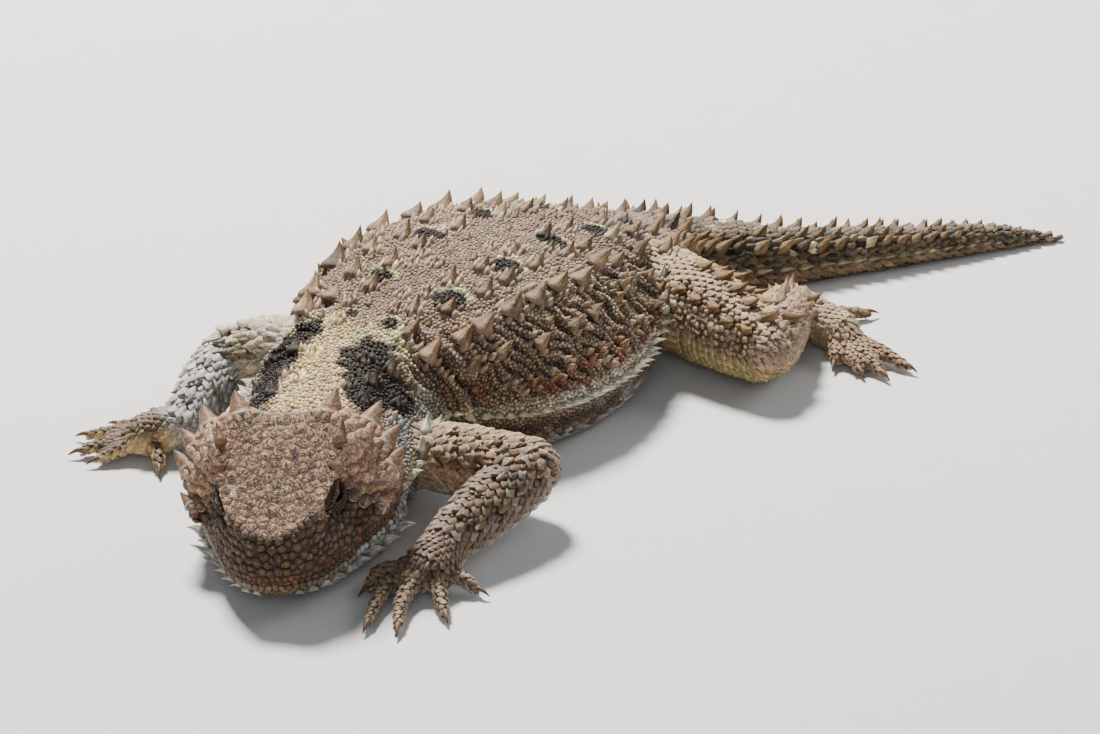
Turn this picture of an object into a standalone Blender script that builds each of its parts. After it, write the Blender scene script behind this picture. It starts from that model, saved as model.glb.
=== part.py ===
"""A greater short-horned lizard at rest, life size, as a still model.

Sizes are millimetres in the model's own frame: +Y runs to the tail,
+X to the animal's left, and the floor is z = 0.
"""
import math

import bmesh
import bpy
import numpy as np
from mathutils import Matrix, Vector
from mathutils.bvhtree import BVHTree

MM = 0.001
GAP = 0.3

# Body
# y, x of the middle line, height of the back, half width, height of the side
# edge, half width and height of the ridge beside the back
BODY = np.array((
    (-40.0, 13.5, 12.2, 10.0, 5.4, 6.0, 11.4),
    (-33.5, 9.2, 13.1, 10.4, 5.6, 5.6, 12.1),
    (-26.5, 4.6, 13.1, 10.6, 6.0, 5.6, 12.2),
    (-22.0, 2.2, 13.4, 10.6, 6.6, 6.2, 12.4),
    (-19.0, 0.8, 14.0, 11.0, 7.0, 7.0, 12.5),
    (-14.0, -0.2, 15.2, 14.5, 6.2, 9.5, 13.5),
    (-7.0, -0.8, 16.5, 18.0, 6.0, 11.5, 15.0),
    (0.0, -1.0, 17.0, 19.2, 6.0, 12.2, 15.5),
    (7.0, -0.9, 16.8, 18.2, 6.0, 11.0, 15.2),
    (12.0, -0.7, 16.1, 16.2, 6.0, 9.5, 14.3),
    (16.0, -0.5, 15.0, 13.3, 6.3, 8.0, 13.2),
    (20.0, -0.6, 13.8, 10.3, 6.3, 7.0, 12.0),
    (24.0, -0.8, 12.0, 8.6, 6.0, 6.2, 10.5),
    (30.0, -1.2, 9.5, 7.0, 4.6, 4.6, 8.4),
    (36.0, 0.6, 7.5, 5.2, 3.4, 3.2, 6.6),
    (43.2, 5.8, 6.0, 3.3, 2.6, 1.9, 5.3),
    (56.2, 13.0, 4.2, 2.3, 1.9, 1.3, 3.8),
    (67.3, 19.0, 2.6, 1.5, 1.2, 0.8, 2.35),
    (74.0, 23.4, 0.7, 0.35, 0.32, 0.2, 0.62),
))
NECK_END = -20.0
TORSO_END = 27.0
TAIL_BASE_END = 42.0
TAIL_MIDDLE_END = 58.0
TAIL_END = 74.0
RING_STEP = 1.9

# Head, in its own frame: -Y is forward, the origin is under the middle
HEAD_PLACE = (13.7, -39.4, 2.5)
HEAD_YAW = 38.0
HEAD_PITCH = 12.0
HEAD_ROLL = -5.7
HEAD_BACK = 5.6
# Each ring runs from the front to the back of the left half
LIP_RING = (
    (0, -10.8, 3.4), (3.4, -9.8, 3.1), (6.0, -6.7, 2.4), (8.1, -2.4, 1.8),
    (10.1, 2.4, 1.4), (9.2, 6.6, 1.5), (0, 7.4, 1.6),
)
LABIAL_RING = (
    (0, -11.0, 4.7), (3.5, -9.9, 4.5), (6.0, -6.6, 4.1), (8.2, -2.3, 3.9),
    (10.8, 2.8, 4.0), (9.4, 7.0, 4.4), (0, 7.7, 4.4),
)
CHEEK_RING = (
    (0, -10.4, 6.2), (3.0, -9.5, 6.3), (5.3, -6.2, 6.5), (7.2, -2.0, 6.7),
    (10.9, 3.0, 7.1), (8.8, 7.4, 8.4), (0, 7.6, 8.2),
)
UNDER_BROW_RING = (
    (0, -9.6, 7.6), (2.7, -9.0, 7.9), (4.7, -5.5, 8.4), (6.2, -1.1, 9.3),
    (8.8, 3.0, 9.9), (7.0, 6.5, 11.1), (0, 6.6, 10.9),
)
BROW_RING = (
    (0, -8.7, 8.3), (2.7, -8.7, 8.8), (5.4, -5.3, 9.6), (6.6, -0.4, 11.6),
    (6.6, 3.1, 12.6), (4.7, 5.3, 12.8), (0, 5.3, 12.4),
)
CROWN_RING = (
    (0, -7.2, 8.6), (2.0, -6.9, 8.8), (4.0, -4.2, 9.7), (4.9, -0.2, 11.2),
    (4.9, 2.3, 12.2), (3.2, 3.9, 12.5), (0, 3.9, 12.2),
)
JAW_RING = (
    (0, -10.1, 1.9), (3.2, -9.1, 1.6), (5.8, -6.1, 0.9), (8.1, -1.9, 0.0),
    (10.6, 2.8, -0.4), (9.4, 6.8, -0.6), (0, 7.4, -0.6),
)
THROAT_RING = (
    (0, -8.4, 0.3), (2.6, -7.6, 0.0), (4.8, -5.2, -0.8), (6.8, -1.6, -2.0),
    (8.6, 2.4, -3.1), (7.4, 6.2, -3.6), (0, 6.8, -3.6),
)
EYE_PLACE = (4.4, -2.4, 8.0)
EYE_RADIUS = 1.9
LID_THICKNESS = 0.4
LID_SLIT = (2.2, 0.6)
NOSTRIL_PLACE = (1.9, -10.0, 7.0)
NOSTRIL_RADIUS = 0.45

# Horns: name, root, tip, root radius, in the head's frame, left side
HORNS = (
    ("horn_occipital", (4.1, 3.9, 10.9), (5.3, 7.3, 14.0), 2.0),
    ("horn_temporal_upper", (7.2, 4.1, 9.4), (9.4, 8.3, 11.4), 1.9),
    ("horn_temporal_middle", (8.5, 3.4, 7.9), (11.5, 6.3, 9.9), 1.75),
    ("horn_temporal_lower", (9.2, 1.6, 6.6), (12.1, 4.4, 8.7), 1.6),
    ("horn_cheek", (9.0, -1.5, 4.9), (11.2, 0.7, 6.2), 1.1),
)

# Legs: the joints in order, each with its radius
ARM_LEFT = (
    ((10.0, -21.8, 4.4), 3.1), ((24.8, -16.7, 6.0), 2.9),
    ((25.9, -29.8, 3.4), 2.2), ((26.8, -33.2, 2.2), 2.5),
)
ARM_RIGHT = (
    ((-9.0, -19.5, 8.2), 3.6), ((-15.5, -22.5, 6.8), 2.7),
    ((-12.2, -32.0, 3.2), 2.1), ((-14.4, -35.0, 2.1), 2.3),
)
LEG_LEFT = (
    ((6.0, 22.0, 6.5), 4.8), ((22.8, 21.3, 4.9), 3.4),
    ((16.0, 33.4, 3.4), 2.5), ((22.3, 34.5, 2.1), 2.3),
)
LEG_RIGHT = (
    ((-7.0, 21.0, 6.5), 4.6), ((-20.0, 10.4, 4.6), 3.3),
    ((-17.2, 22.0, 3.1), 2.4), ((-18.8, 25.6, 2.1), 2.4),
)
# Toes: knuckle and claw tip in plan
TOES_HAND_LEFT = (
    ((23.0, -36.0), (23.8, -40.4)), ((25.4, -37.9), (29.2, -44.8)),
    ((28.2, -38.3), (32.1, -43.0)), ((29.9, -35.0), (34.0, -37.7)),
    ((30.2, -31.6), (33.2, -31.0)),
)
TOES_HAND_RIGHT = (
    ((-11.6, -36.2), (-8.9, -38.4)), ((-15.2, -38.4), (-16.6, -42.2)),
    ((-17.1, -38.2), (-19.6, -42.2)), ((-18.4, -36.4), (-22.3, -39.0)),
    ((-18.0, -34.0), (-22.0, -34.6)),
)
TOES_FOOT_LEFT = (
    ((24.5, 31.6), (26.2, 29.2)), ((26.2, 32.2), (29.7, 30.6)),
    ((27.6, 33.4), (32.2, 32.0)), ((27.4, 35.4), (33.1, 35.7)),
    ((18.4, 38.8), (20.6, 43.8)),
)
TOES_FOOT_RIGHT = (
    ((-20.9, 23.6), (-22.6, 21.6)), ((-22.6, 25.0), (-25.2, 24.4)),
    ((-22.6, 27.4), (-25.6, 28.2)), ((-21.2, 29.4), (-23.4, 32.2)),
    ((-17.2, 29.8), (-16.6, 33.6)),
)
TOE_RADIUS = 0.95
CLAW_LENGTH = 1.9

# Spine rows on the body. Place across the section: 3 is the side edge, 5 the
# ridge, 7 the middle of the back. Then first and last y, step, length and
# radius at the first and last spine, and the lean: outward, backward, up
BODY_ROWS = {
    "neck": (
        (3.0, -31.5, -21.0, 2.1, (1.5, 1.7), (0.66, 0.8), (1.0, 0.5, 0.1)),
        (4.4, -30.0, -23.0, 2.9, (1.1, 1.3), (0.5, 0.55), (1.0, 0.5, 0.4)),
        (5.3, -29.5, -22.5, 3.3, (1.3, 1.6), (0.55, 0.6), (1.0, 0.7, 0.6)),
        (6.3, -27.5, -22.5, 4.6, (1.0, 1.1), (0.45, 0.45), (1.0, 0.7, 0.6)),
    ),
    "torso": (
        (3.0, -17.2, 19.6, 1.75, (1.7, 1.9), (0.66, 0.66), (1.0, 0.6, 0.15)),
        (3.7, -10.5, 17.0, 4.3, (1.2, 1.2), (0.5, 0.5), (1.0, 0.8, 0.4)),
        (4.4, -13.5, 22.0, 4.3, (1.5, 1.4), (0.58, 0.55), (1.0, 0.9, 0.5)),
        (5.0, -17.0, 25.0, 3.7, (2.1, 2.0), (0.85, 0.8), (1.0, 0.9, 0.6)),
        (5.7, -15.2, 24.0, 4.4, (1.6, 1.5), (0.6, 0.6), (1.0, 0.9, 0.3)),
        (6.4, -12.4, 22.0, 5.2, (1.5, 1.3), (0.55, 0.55), (1.0, 0.9, 0.3)),
    ),
    "tail_base": (
        (3.1, 29.0, 41.0, 1.9, (2.0, 1.6), (0.7, 0.6), (1.0, 0.7, 0.3)),
        (4.5, 30.2, 40.5, 2.6, (1.8, 1.4), (0.65, 0.52), (1.0, 0.8, 0.5)),
        (5.8, 28.8, 40.0, 2.7, (1.7, 1.3), (0.62, 0.5), (1.0, 0.8, 0.5)),
    ),
    "tail_middle": (
        (3.1, 43.2, 57.2, 1.75, (1.4, 1.0), (0.55, 0.44), (1.0, 0.8, 0.2)),
        (5.1, 43.9, 57.2, 1.9, (1.2, 0.9), (0.46, 0.38), (1.0, 0.9, 0.5)),
    ),
    "tail_tip": (
        (3.1, 59.2, 70.6, 1.7, (0.9, 0.5), (0.38, 0.24), (1.0, 0.9, 0.2)),
        (5.1, 59.8, 69.4, 1.9, (0.75, 0.45), (0.32, 0.22), (1.0, 0.9, 0.5)),
    ),
}
SPINE_VARIATION = 0.14
SPINE_SINK = 0.25
# Leg rows: angle from straight up toward the front, first and last place along
# the bone, count, length and radius
LEG_ROWS = {
    "upper_arm": (
        (70, 0.45, 0.95, 5, 1.1, 0.62),
        (10, 0.5, 0.95, 3, 0.9, 0.55),
    ),
    "forearm": (
        (50, 0.1, 0.9, 4, 1.0, 0.6),
        (-10, 0.2, 0.8, 3, 0.9, 0.55),
        (-65, 0.1, 0.8, 3, 1.1, 0.6),
    ),
    "thigh": (
        (-55, 0.4, 0.9, 3, 1.7, 0.7),
        (-10, 0.35, 0.9, 4, 1.8, 0.75),
        (40, 0.4, 0.9, 4, 1.3, 0.65),
    ),
    "shin": (
        (-60, 0.15, 0.85, 3, 1.4, 0.62),
        (-5, 0.1, 0.9, 4, 1.4, 0.62),
        (50, 0.2, 0.9, 3, 1.1, 0.58),
    ),
}
# Head spines: root, tip and radius, in the head's frame, left side
BROW_SPINES = (
    ((6.0, 1.4, 11.9), (6.5, 3.2, 13.7), 0.95),
    ((6.2, -1.4, 10.9), (6.8, 0.1, 12.3), 0.7),
)
JAW_SPINES = 7
JAW_SPINE_LENGTHS = (0.8, 2.2)

SKIN_TAN = (0.36, 0.27, 0.19)
SKIN_BROWN = (0.30, 0.21, 0.14)
HORN_TAN = (0.45, 0.30, 0.21)
EYE_DARK = (0.02, 0.014, 0.01)


# Scene and materials

def clear_scene():
    for item in list(bpy.data.objects):
        bpy.data.objects.remove(item, do_unlink=True)


def new_collection(name):
    group = bpy.data.collections.new(name)
    bpy.context.scene.collection.children.link(group)
    return group


def paint(item, colour, roughness):
    material = bpy.data.materials.new(item.name + "_surface")
    material.use_nodes = True
    shader = material.node_tree.nodes["Principled BSDF"]
    shader.inputs["Base Color"].default_value = (*colour, 1.0)
    shader.inputs["Roughness"].default_value = roughness
    shader.inputs["Metallic"].default_value = 0.0
    item.data.materials.clear()
    item.data.materials.append(material)


def mesh_object(name, group, points, faces):
    mesh = bpy.data.meshes.new(name)
    mesh.from_pydata([tuple(float(c) * MM for c in p) for p in points], [], faces)
    mesh.validate()
    item = bpy.data.objects.new(name, mesh)
    group.objects.link(item)
    face_outward(item)
    return item


def face_outward(item):
    shape = bmesh.new()
    shape.from_mesh(item.data)
    bmesh.ops.recalc_face_normals(shape, faces=shape.faces)
    if shape.calc_volume(signed=True) < 0:
        bmesh.ops.reverse_faces(shape, faces=shape.faces)
    shape.to_mesh(item.data)
    shape.free()


# Smooth curves through named stations

def hermite(p0, p1, p2, p3, t):
    a = 2.0 * p1
    b = p2 - p0
    c = 2.0 * p0 - 5.0 * p1 + 4.0 * p2 - p3
    d = 3.0 * p1 - p0 - 3.0 * p2 + p3
    return 0.5 * (a + b * t + c * t * t + d * t ** 3)


def closed_curve(points, counts):
    points = np.asarray(points, float)
    total = len(points)
    result = []
    for i in range(total):
        around = [points[(i + k) % total] for k in (-1, 0, 1, 2)]
        for step in range(counts[i]):
            result.append(hermite(*around, step / counts[i]))
    return np.array(result)


def open_curve(points, count):
    points = np.asarray(points, float)
    padded = np.vstack((2 * points[0] - points[1], points, 2 * points[-1] - points[-2]))
    result = []
    for i in range(len(points) - 1):
        for step in range(count):
            result.append(hermite(*padded[i:i + 4], step / count))
    result.append(points[-1])
    return np.array(result)


def station(y):
    """Values of the body table at y, by a cubic through the rows."""
    rows = BODY[:, 0]
    i = int(np.clip(np.searchsorted(rows, y) - 1, 0, len(rows) - 2))
    slopes = np.gradient(BODY[:, 1:], rows, axis=0)
    span = rows[i + 1] - rows[i]
    t = (y - rows[i]) / span
    h00 = 2 * t ** 3 - 3 * t ** 2 + 1
    h10 = t ** 3 - 2 * t ** 2 + t
    h01 = -2 * t ** 3 + 3 * t ** 2
    h11 = t ** 3 - t ** 2
    low = h00 * BODY[i, 1:] + h10 * span * slopes[i]
    return low + h01 * BODY[i + 1, 1:] + h11 * span * slopes[i + 1]


def heading(y):
    rate = (station(y + 0.2)[0] - station(y - 0.2)[0]) / 0.4
    size = math.hypot(1.0, rate)
    return np.array((rate / size, 1.0 / size, 0.0)), np.array((1.0 / size, -rate / size, 0.0))


def side_outline(top, half, edge, ridge, ridge_z):
    """Half a section, from the middle of the belly to the middle of the back."""
    return (
        (0.0, 0.0), (0.78 * half, 0.0), (0.95 * half, 0.35 * edge), (half, edge),
        (0.86 * half, edge + 0.42 * (top - edge)), (ridge, ridge_z),
        (0.34 * half, 0.985 * top), (0.0, top),
    )


def body_ring(y, detail):
    x, top, half, edge, ridge, ridge_z = station(y)
    side = side_outline(top, half, edge, ridge, ridge_z)
    outline = list(side) + [(-a, b) for a, b in side[-2:0:-1]]
    curve = closed_curve(outline, [detail] * len(outline))
    curve[:, 1] = np.maximum(curve[:, 1], 0.0)
    across = heading(y)[1]
    middle = np.array((x, y, 0.0))
    return [middle + a * across + np.array((0, 0, b)) for a, b in curve]


# Solids from rings

def ring_faces(count, rings):
    faces = []
    for r in range(rings - 1):
        for i in range(count):
            j = (i + 1) % count
            faces.append((r * count + i, r * count + j, (r + 1) * count + j, (r + 1) * count + i))
    return faces


def loft(name, group, rings):
    """A closed solid through the rings, with a flat face at each end."""
    count = len(rings[0])
    points = [p for ring in rings for p in ring]
    faces = ring_faces(count, len(rings))
    faces.append(tuple(range(count - 1, -1, -1)))
    faces.append(tuple((len(rings) - 1) * count + i for i in range(count)))
    return mesh_object(name, group, points, faces)


def dome(name, group, rings, first, last):
    """A closed solid through the rings, with a point at each end."""
    count = len(rings[0])
    points = [p for ring in rings for p in ring] + [first, last]
    faces = ring_faces(count, len(rings))
    start, end = len(points) - 2, len(points) - 1
    base = (len(rings) - 1) * count
    for i in range(count):
        j = (i + 1) % count
        faces.append((start, j, i))
        faces.append((end, base + i, base + j))
    return mesh_object(name, group, points, faces)


def body_length(name, group, start, end, detail):
    steps = max(3, round((end - start) / RING_STEP))
    rings = [body_ring(y, detail) for y in np.linspace(start, end, steps + 1)]
    return loft(name, group, rings)


def frame_along(direction):
    axis = np.asarray(direction, float)
    axis = axis / np.linalg.norm(axis)
    helper = np.array((0.0, 0.0, 1.0)) if abs(axis[2]) < 0.9 else np.array((1.0, 0.0, 0.0))
    side = np.cross(helper, axis)
    side = side / np.linalg.norm(side)
    return axis, side, np.cross(axis, side)


def circle(centre, direction, radius, count, flat=1.0):
    axis, side, up = frame_along(direction)
    angles = np.linspace(0, 2 * math.pi, count, endpoint=False)
    return [centre + radius * (math.cos(a) * side + flat * math.sin(a) * up) for a in angles]


def limb_length(name, group, start, end, radii, bulge, count=12):
    """A rounded bone length that tapers, with a swelling in its middle."""
    start, end = np.array(start, float), np.array(end, float)
    axis = (end - start) / np.linalg.norm(end - start)
    rings = []
    for a in (60, 30):
        turn = math.radians(a)
        centre = start - axis * radii[0] * math.sin(turn)
        rings.append(circle(centre, axis, radii[0] * math.cos(turn), count))
    for t in np.linspace(0, 1, 6):
        radius = radii[0] + (radii[1] - radii[0]) * t + bulge * math.sin(math.pi * t)
        rings.append(circle(start + (end - start) * t, axis, radius, count))
    for a in (30, 60):
        turn = math.radians(a)
        centre = end + axis * radii[1] * math.sin(turn)
        rings.append(circle(centre, axis, radii[1] * math.cos(turn), count))
    return dome(name, group, rings, start - axis * radii[0], end + axis * radii[1])


def tube(name, group, points, radii, count):
    """A bent tube with a point at each end."""
    points = np.asarray(points, float)
    rings = []
    for i in range(1, len(points) - 1):
        rings.append(circle(points[i], points[i + 1] - points[i - 1], radii[i], count))
    return dome(name, group, rings, points[0], points[-1])


def ball(name, group, centre, radius, segments=16, rows=10, scale=(1, 1, 1)):
    shape = bmesh.new()
    bmesh.ops.create_uvsphere(shape, u_segments=segments, v_segments=rows, radius=radius * MM)
    bmesh.ops.scale(shape, vec=scale, verts=shape.verts)
    bmesh.ops.translate(shape, vec=Vector(centre) * MM, verts=shape.verts)
    mesh = bpy.data.meshes.new(name)
    shape.to_mesh(mesh)
    shape.free()
    item = bpy.data.objects.new(name, mesh)
    group.objects.link(item)
    return item


# Cuts and unions

def settle(item):
    """Replace the mesh by what its modifiers make of it."""
    graph = bpy.context.evaluated_depsgraph_get()
    mesh = bpy.data.meshes.new_from_object(item.evaluated_get(graph))
    item.modifiers.clear()
    item.data = mesh


def keep_largest(item):
    shape = bmesh.new()
    shape.from_mesh(item.data)
    bmesh.ops.remove_doubles(shape, verts=shape.verts, dist=0.000002)
    shape.faces.ensure_lookup_table()
    seen = set()
    bodies = []
    for face in shape.faces:
        if face in seen:
            continue
        seen.add(face)
        body = [face]
        for current in body:
            for edge in current.edges:
                for other in edge.link_faces:
                    if other not in seen:
                        seen.add(other)
                        body.append(other)
        bodies.append(body)
    bodies.sort(key=lambda body: sum(f.calc_area() for f in body))
    loose = [face for body in bodies[:-1] for face in body]
    bmesh.ops.delete(shape, geom=loose, context="FACES")
    shape.to_mesh(item.data)
    shape.free()


def cut(item, cutter, operation="DIFFERENCE"):
    change = item.modifiers.new("Cut", "BOOLEAN")
    change.operation = operation
    change.solver = "EXACT"
    change.object = cutter
    settle(item)
    keep_largest(item)


def join_group(item, group):
    """Join every solid of a collection to the item, then drop them."""
    if not group.objects:
        bpy.data.collections.remove(group)
        return
    change = item.modifiers.new("Join", "BOOLEAN")
    change.operation = "UNION"
    change.solver = "EXACT"
    change.operand_type = "COLLECTION"
    change.collection = group
    settle(item)
    keep_largest(item)
    for extra in list(group.objects):
        bpy.data.objects.remove(extra, do_unlink=True)
    bpy.data.collections.remove(group)


def grown_copy(item, tools, amount=GAP):
    shape = bmesh.new()
    shape.from_mesh(item.data)
    shape.normal_update()
    for vertex in shape.verts:
        vertex.co += vertex.normal * amount * MM
    mesh = bpy.data.meshes.new(item.name + "_clearance")
    shape.to_mesh(mesh)
    shape.free()
    copy = bpy.data.objects.new(item.name + "_clearance", mesh)
    copy.hide_render = True
    copy.display_type = "WIRE"
    tools.objects.link(copy)
    return copy


def keep_side(item, point, normal):
    """Keep what lies on the side that the normal points to, with a flat face."""
    shape = bmesh.new()
    shape.from_mesh(item.data)
    everything = list(shape.verts) + list(shape.edges) + list(shape.faces)
    bmesh.ops.bisect_plane(
        shape, geom=everything, plane_co=Vector(point) * MM, plane_no=Vector(normal),
        dist=0.0000001, clear_inner=True,
    )
    edges = [edge for edge in shape.edges if edge.is_boundary]
    bmesh.ops.holes_fill(shape, edges=edges)
    bmesh.ops.recalc_face_normals(shape, faces=shape.faces)
    shape.to_mesh(item.data)
    shape.free()


# Head

def head_matrix():
    yaw = Matrix.Rotation(math.radians(HEAD_YAW), 4, "Z")
    pitch = Matrix.Rotation(math.radians(HEAD_PITCH), 4, "X")
    roll = Matrix.Rotation(math.radians(HEAD_ROLL), 4, "Y")
    return Matrix.Translation(HEAD_PLACE) @ yaw @ pitch @ roll


def from_head(point):
    return np.array(head_matrix() @ Vector(point))


def head_ring(half, lift=0.0, shrink=1.0, centre=(0.0, -1.0)):
    points = [(x, y, z + lift) for x, y, z in half]
    points += [(-x, y, z) for x, y, z in points[-2:0:-1]]
    points = [(x * shrink, centre[1] + (y - centre[1]) * shrink, z) for x, y, z in points]
    return closed_curve(points, [3] * len(points))


def between(rings):
    """The rings with one more between each two, on a smooth curve."""
    stack = np.array(rings)
    padded = np.concatenate((stack[:1] * 2 - stack[1:2], stack, stack[-1:] * 2 - stack[-2:-1]))
    result = []
    for i in range(len(stack) - 1):
        result.append(stack[i])
        result.append(hermite(*padded[i:i + 4], 0.5))
    result.append(stack[-1])
    return result


def head_solid(name, group, rings, first, last):
    world = [[from_head(p) for p in ring] for ring in rings]
    item = dome(name, group, world, from_head(first), from_head(last))
    back = from_head((0, HEAD_BACK, 0))
    ahead = np.array(head_matrix().to_3x3() @ Vector((0, -1, 0)))
    keep_side(item, back, ahead)
    return item


def make_head(parts):
    crown = head_ring(CROWN_RING)
    middle = head_ring(CROWN_RING, -0.1, 0.5)
    middle[:, 2] = 10.85 + 0.36 * (middle[:, 1] + 1.0)
    outer = [head_ring(r) for r in (LABIAL_RING, CHEEK_RING, UNDER_BROW_RING, BROW_RING)]
    lip = head_ring(LIP_RING, 0.5 * GAP)
    roof = head_ring(LIP_RING, 0.5 * GAP, 0.5)
    rings = [roof] + between([lip] + outer + [crown, middle])
    return head_solid("head", parts, rings, (0, -1.0, 1.6 + 0.5 * GAP), (0, -1.0, 10.9))


def make_jaw(parts):
    lip = head_ring(LIP_RING, -0.5 * GAP)
    floor = head_ring(LIP_RING, -0.5 * GAP, 0.5)
    under = head_ring(THROAT_RING, -1.0, 0.6)
    rings = [under] + between([head_ring(THROAT_RING), head_ring(JAW_RING), lip]) + [floor]
    return head_solid("jaw", parts, rings, (0, -1.0, -3.6), (0, -1.0, 1.6 - 0.5 * GAP))


def open_eyes(head, parts, tools):
    """Lids round each eye, with a slit that the eye shows through."""
    turn = head_matrix()
    for side, label in ((1, "left"), (-1, "right")):
        place = (side * EYE_PLACE[0], EYE_PLACE[1], EYE_PLACE[2])
        centre = turn @ Vector(place)
        lids = ball("lids_" + label, tools, centre, EYE_RADIUS + GAP + LID_THICKNESS, 18, 12)
        cut(head, lids, "UNION")
        middle = turn @ Vector((side * (EYE_PLACE[0] + EYE_RADIUS), EYE_PLACE[1], EYE_PLACE[2] + 0.9))
        slit = ball("slit_" + label, tools, (0, 0, 0), 1.0, 12, 8)
        tilt = Matrix.Rotation(math.radians(-8), 4, "X")
        yaw = Matrix.Rotation(math.radians(-14 * side), 4, "Z")
        size = Matrix.Diagonal((1.6, LID_SLIT[0], LID_SLIT[1], 1.0))
        spot = Matrix.Translation(middle * MM)
        slit.data.transform(spot @ turn.to_3x3().to_4x4() @ tilt @ yaw @ size)
        cut(head, slit)
        socket = ball("socket_" + label, tools, centre, EYE_RADIUS + GAP, 18, 12)
        cut(head, socket)
        eye = ball("eye_" + label, parts, centre, EYE_RADIUS, 14, 9)
        paint(eye, EYE_DARK, 0.15)
        for tool in (lids, socket, slit):
            bpy.data.objects.remove(tool, do_unlink=True)


def open_nostrils(head, tools):
    turn = head_matrix()
    for side in (1, -1):
        place = turn @ Vector((side * NOSTRIL_PLACE[0], NOSTRIL_PLACE[1], NOSTRIL_PLACE[2]))
        pit = ball("nostril", tools, place, NOSTRIL_RADIUS, 8, 6)
        cut(head, pit)
        bpy.data.objects.remove(pit, do_unlink=True)


def make_horns(parts, clearance):
    horns = []
    for name, root, tip, radius in HORNS:
        for side, label in ((1, "left"), (-1, "right")):
            start = from_head((side * root[0], root[1], root[2]))
            end = from_head((side * tip[0], tip[1], tip[2]))
            way = end - start
            lift = np.array((0, 0, -0.25))
            points = [start - 0.02 * way]
            for t in (0, 0.3, 0.6, 0.85):
                points.append(start + way * t + lift * math.sin(math.pi * t))
            points.append(end)
            radii = [0] + [radius * (1 - t) ** 0.8 for t in (0, 0.3, 0.6, 0.85)] + [0]
            horn = tube(name + "_" + label, parts, points, radii, 9)
            cut(horn, clearance)
            paint(horn, HORN_TAN, 0.6)
            horns.append(horn)
    return horns


# Legs

def bisector(before, joint, after):
    first = (joint - before) / np.linalg.norm(joint - before)
    second = (after - joint) / np.linalg.norm(after - joint)
    normal = first + second
    return normal / np.linalg.norm(normal)


def make_leg(parts, names, joints, bulges, toes, blockers, floor):
    """Three lengths that meet on the planes halfway through each bend."""
    places = [np.array(place, float) for place, radius in joints]
    radii = [radius for place, radius in joints]
    lengths = []
    for i in range(3):
        ends = (radii[i], radii[i + 1])
        item = limb_length(names[i], parts, places[i], places[i + 1], ends, bulges[i])
        if i == 2:
            add_toes(item, toes, places[3])
        lengths.append(item)
    for i in (1, 2):
        normal = bisector(places[i - 1], places[i], places[i + 1])
        keep_side(lengths[i - 1], places[i] - normal * 0.5 * GAP, -normal)
        keep_side(lengths[i], places[i] + normal * 0.5 * GAP, normal)
    for item in lengths:
        for blocker in blockers:
            cut(item, blocker)
        cut(item, floor)
        paint(item, SKIN_BROWN, 0.8)
    return lengths


def add_toes(palm, toes, centre):
    group = bpy.data.collections.new(palm.name + "_toes")
    bpy.context.scene.collection.children.link(group)
    for knuckle, tip in toes:
        knuckle = np.array((*knuckle, 1.35))
        tip = np.array((*tip, 0.35))
        ahead = (tip - knuckle) * np.array((1, 1, 0))
        ahead = ahead / np.linalg.norm(ahead)
        nail = tip - ahead * CLAW_LENGTH + np.array((0, 0, 0.35))
        start = centre * 0.72 + knuckle * 0.28
        path = open_curve([start, knuckle, nail, nail + ahead * 0.5], 2)
        radii = TOE_RADIUS * np.linspace(1.15, 0.68, len(path))
        tube("toe", group, path, radii, 7)
        claw = [
            nail - ahead * 0.4, nail - ahead * 0.2, nail + ahead * 0.6 + np.array((0, 0, 0.15)),
            nail + ahead * 1.3 + np.array((0, 0, -0.02)), tip,
        ]
        tube("claw", group, claw, [0, 0.52, 0.42, 0.24, 0], 5)
    join_group(palm, group)


# Spines

def body_point(y, place, side):
    """A point of the body's surface, by its place across the section."""
    x, top, half, edge, ridge, ridge_z = station(y)
    outline = side_outline(top, half, edge, ridge, ridge_z)
    i = int(min(place, 6))
    around = [outline[abs(k)] if k < 8 else outline[14 - k] for k in (i - 1, i, i + 1, i + 2)]
    around = np.array(around, float)
    if i == 0:
        around[0, 0] = -around[0, 0]
    if i == 6:
        around[3, 0] = -around[3, 0]
    a, b = hermite(*around, place - i)
    return np.array((x, y, 0.0)) + side * a * heading(y)[1] + np.array((0, 0, max(b, 0.0)))


def cone(group, root, tip, radius, sides=4):
    root, tip = Vector(root), Vector(tip)
    shape = bmesh.new()
    bmesh.ops.create_cone(
        shape, cap_ends=True, segments=sides, radius1=radius * MM, radius2=0.0,
        depth=(tip - root).length * MM,
    )
    bmesh.ops.remove_doubles(shape, verts=shape.verts, dist=0.0000005)
    turn = (tip - root).to_track_quat("Z", "Y").to_matrix().to_4x4()
    shape.transform(Matrix.Translation((root + tip) * 0.5 * MM) @ turn)
    mesh = bpy.data.meshes.new("spine")
    shape.to_mesh(mesh)
    shape.free()
    item = bpy.data.objects.new("spine", mesh)
    group.objects.link(item)


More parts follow.
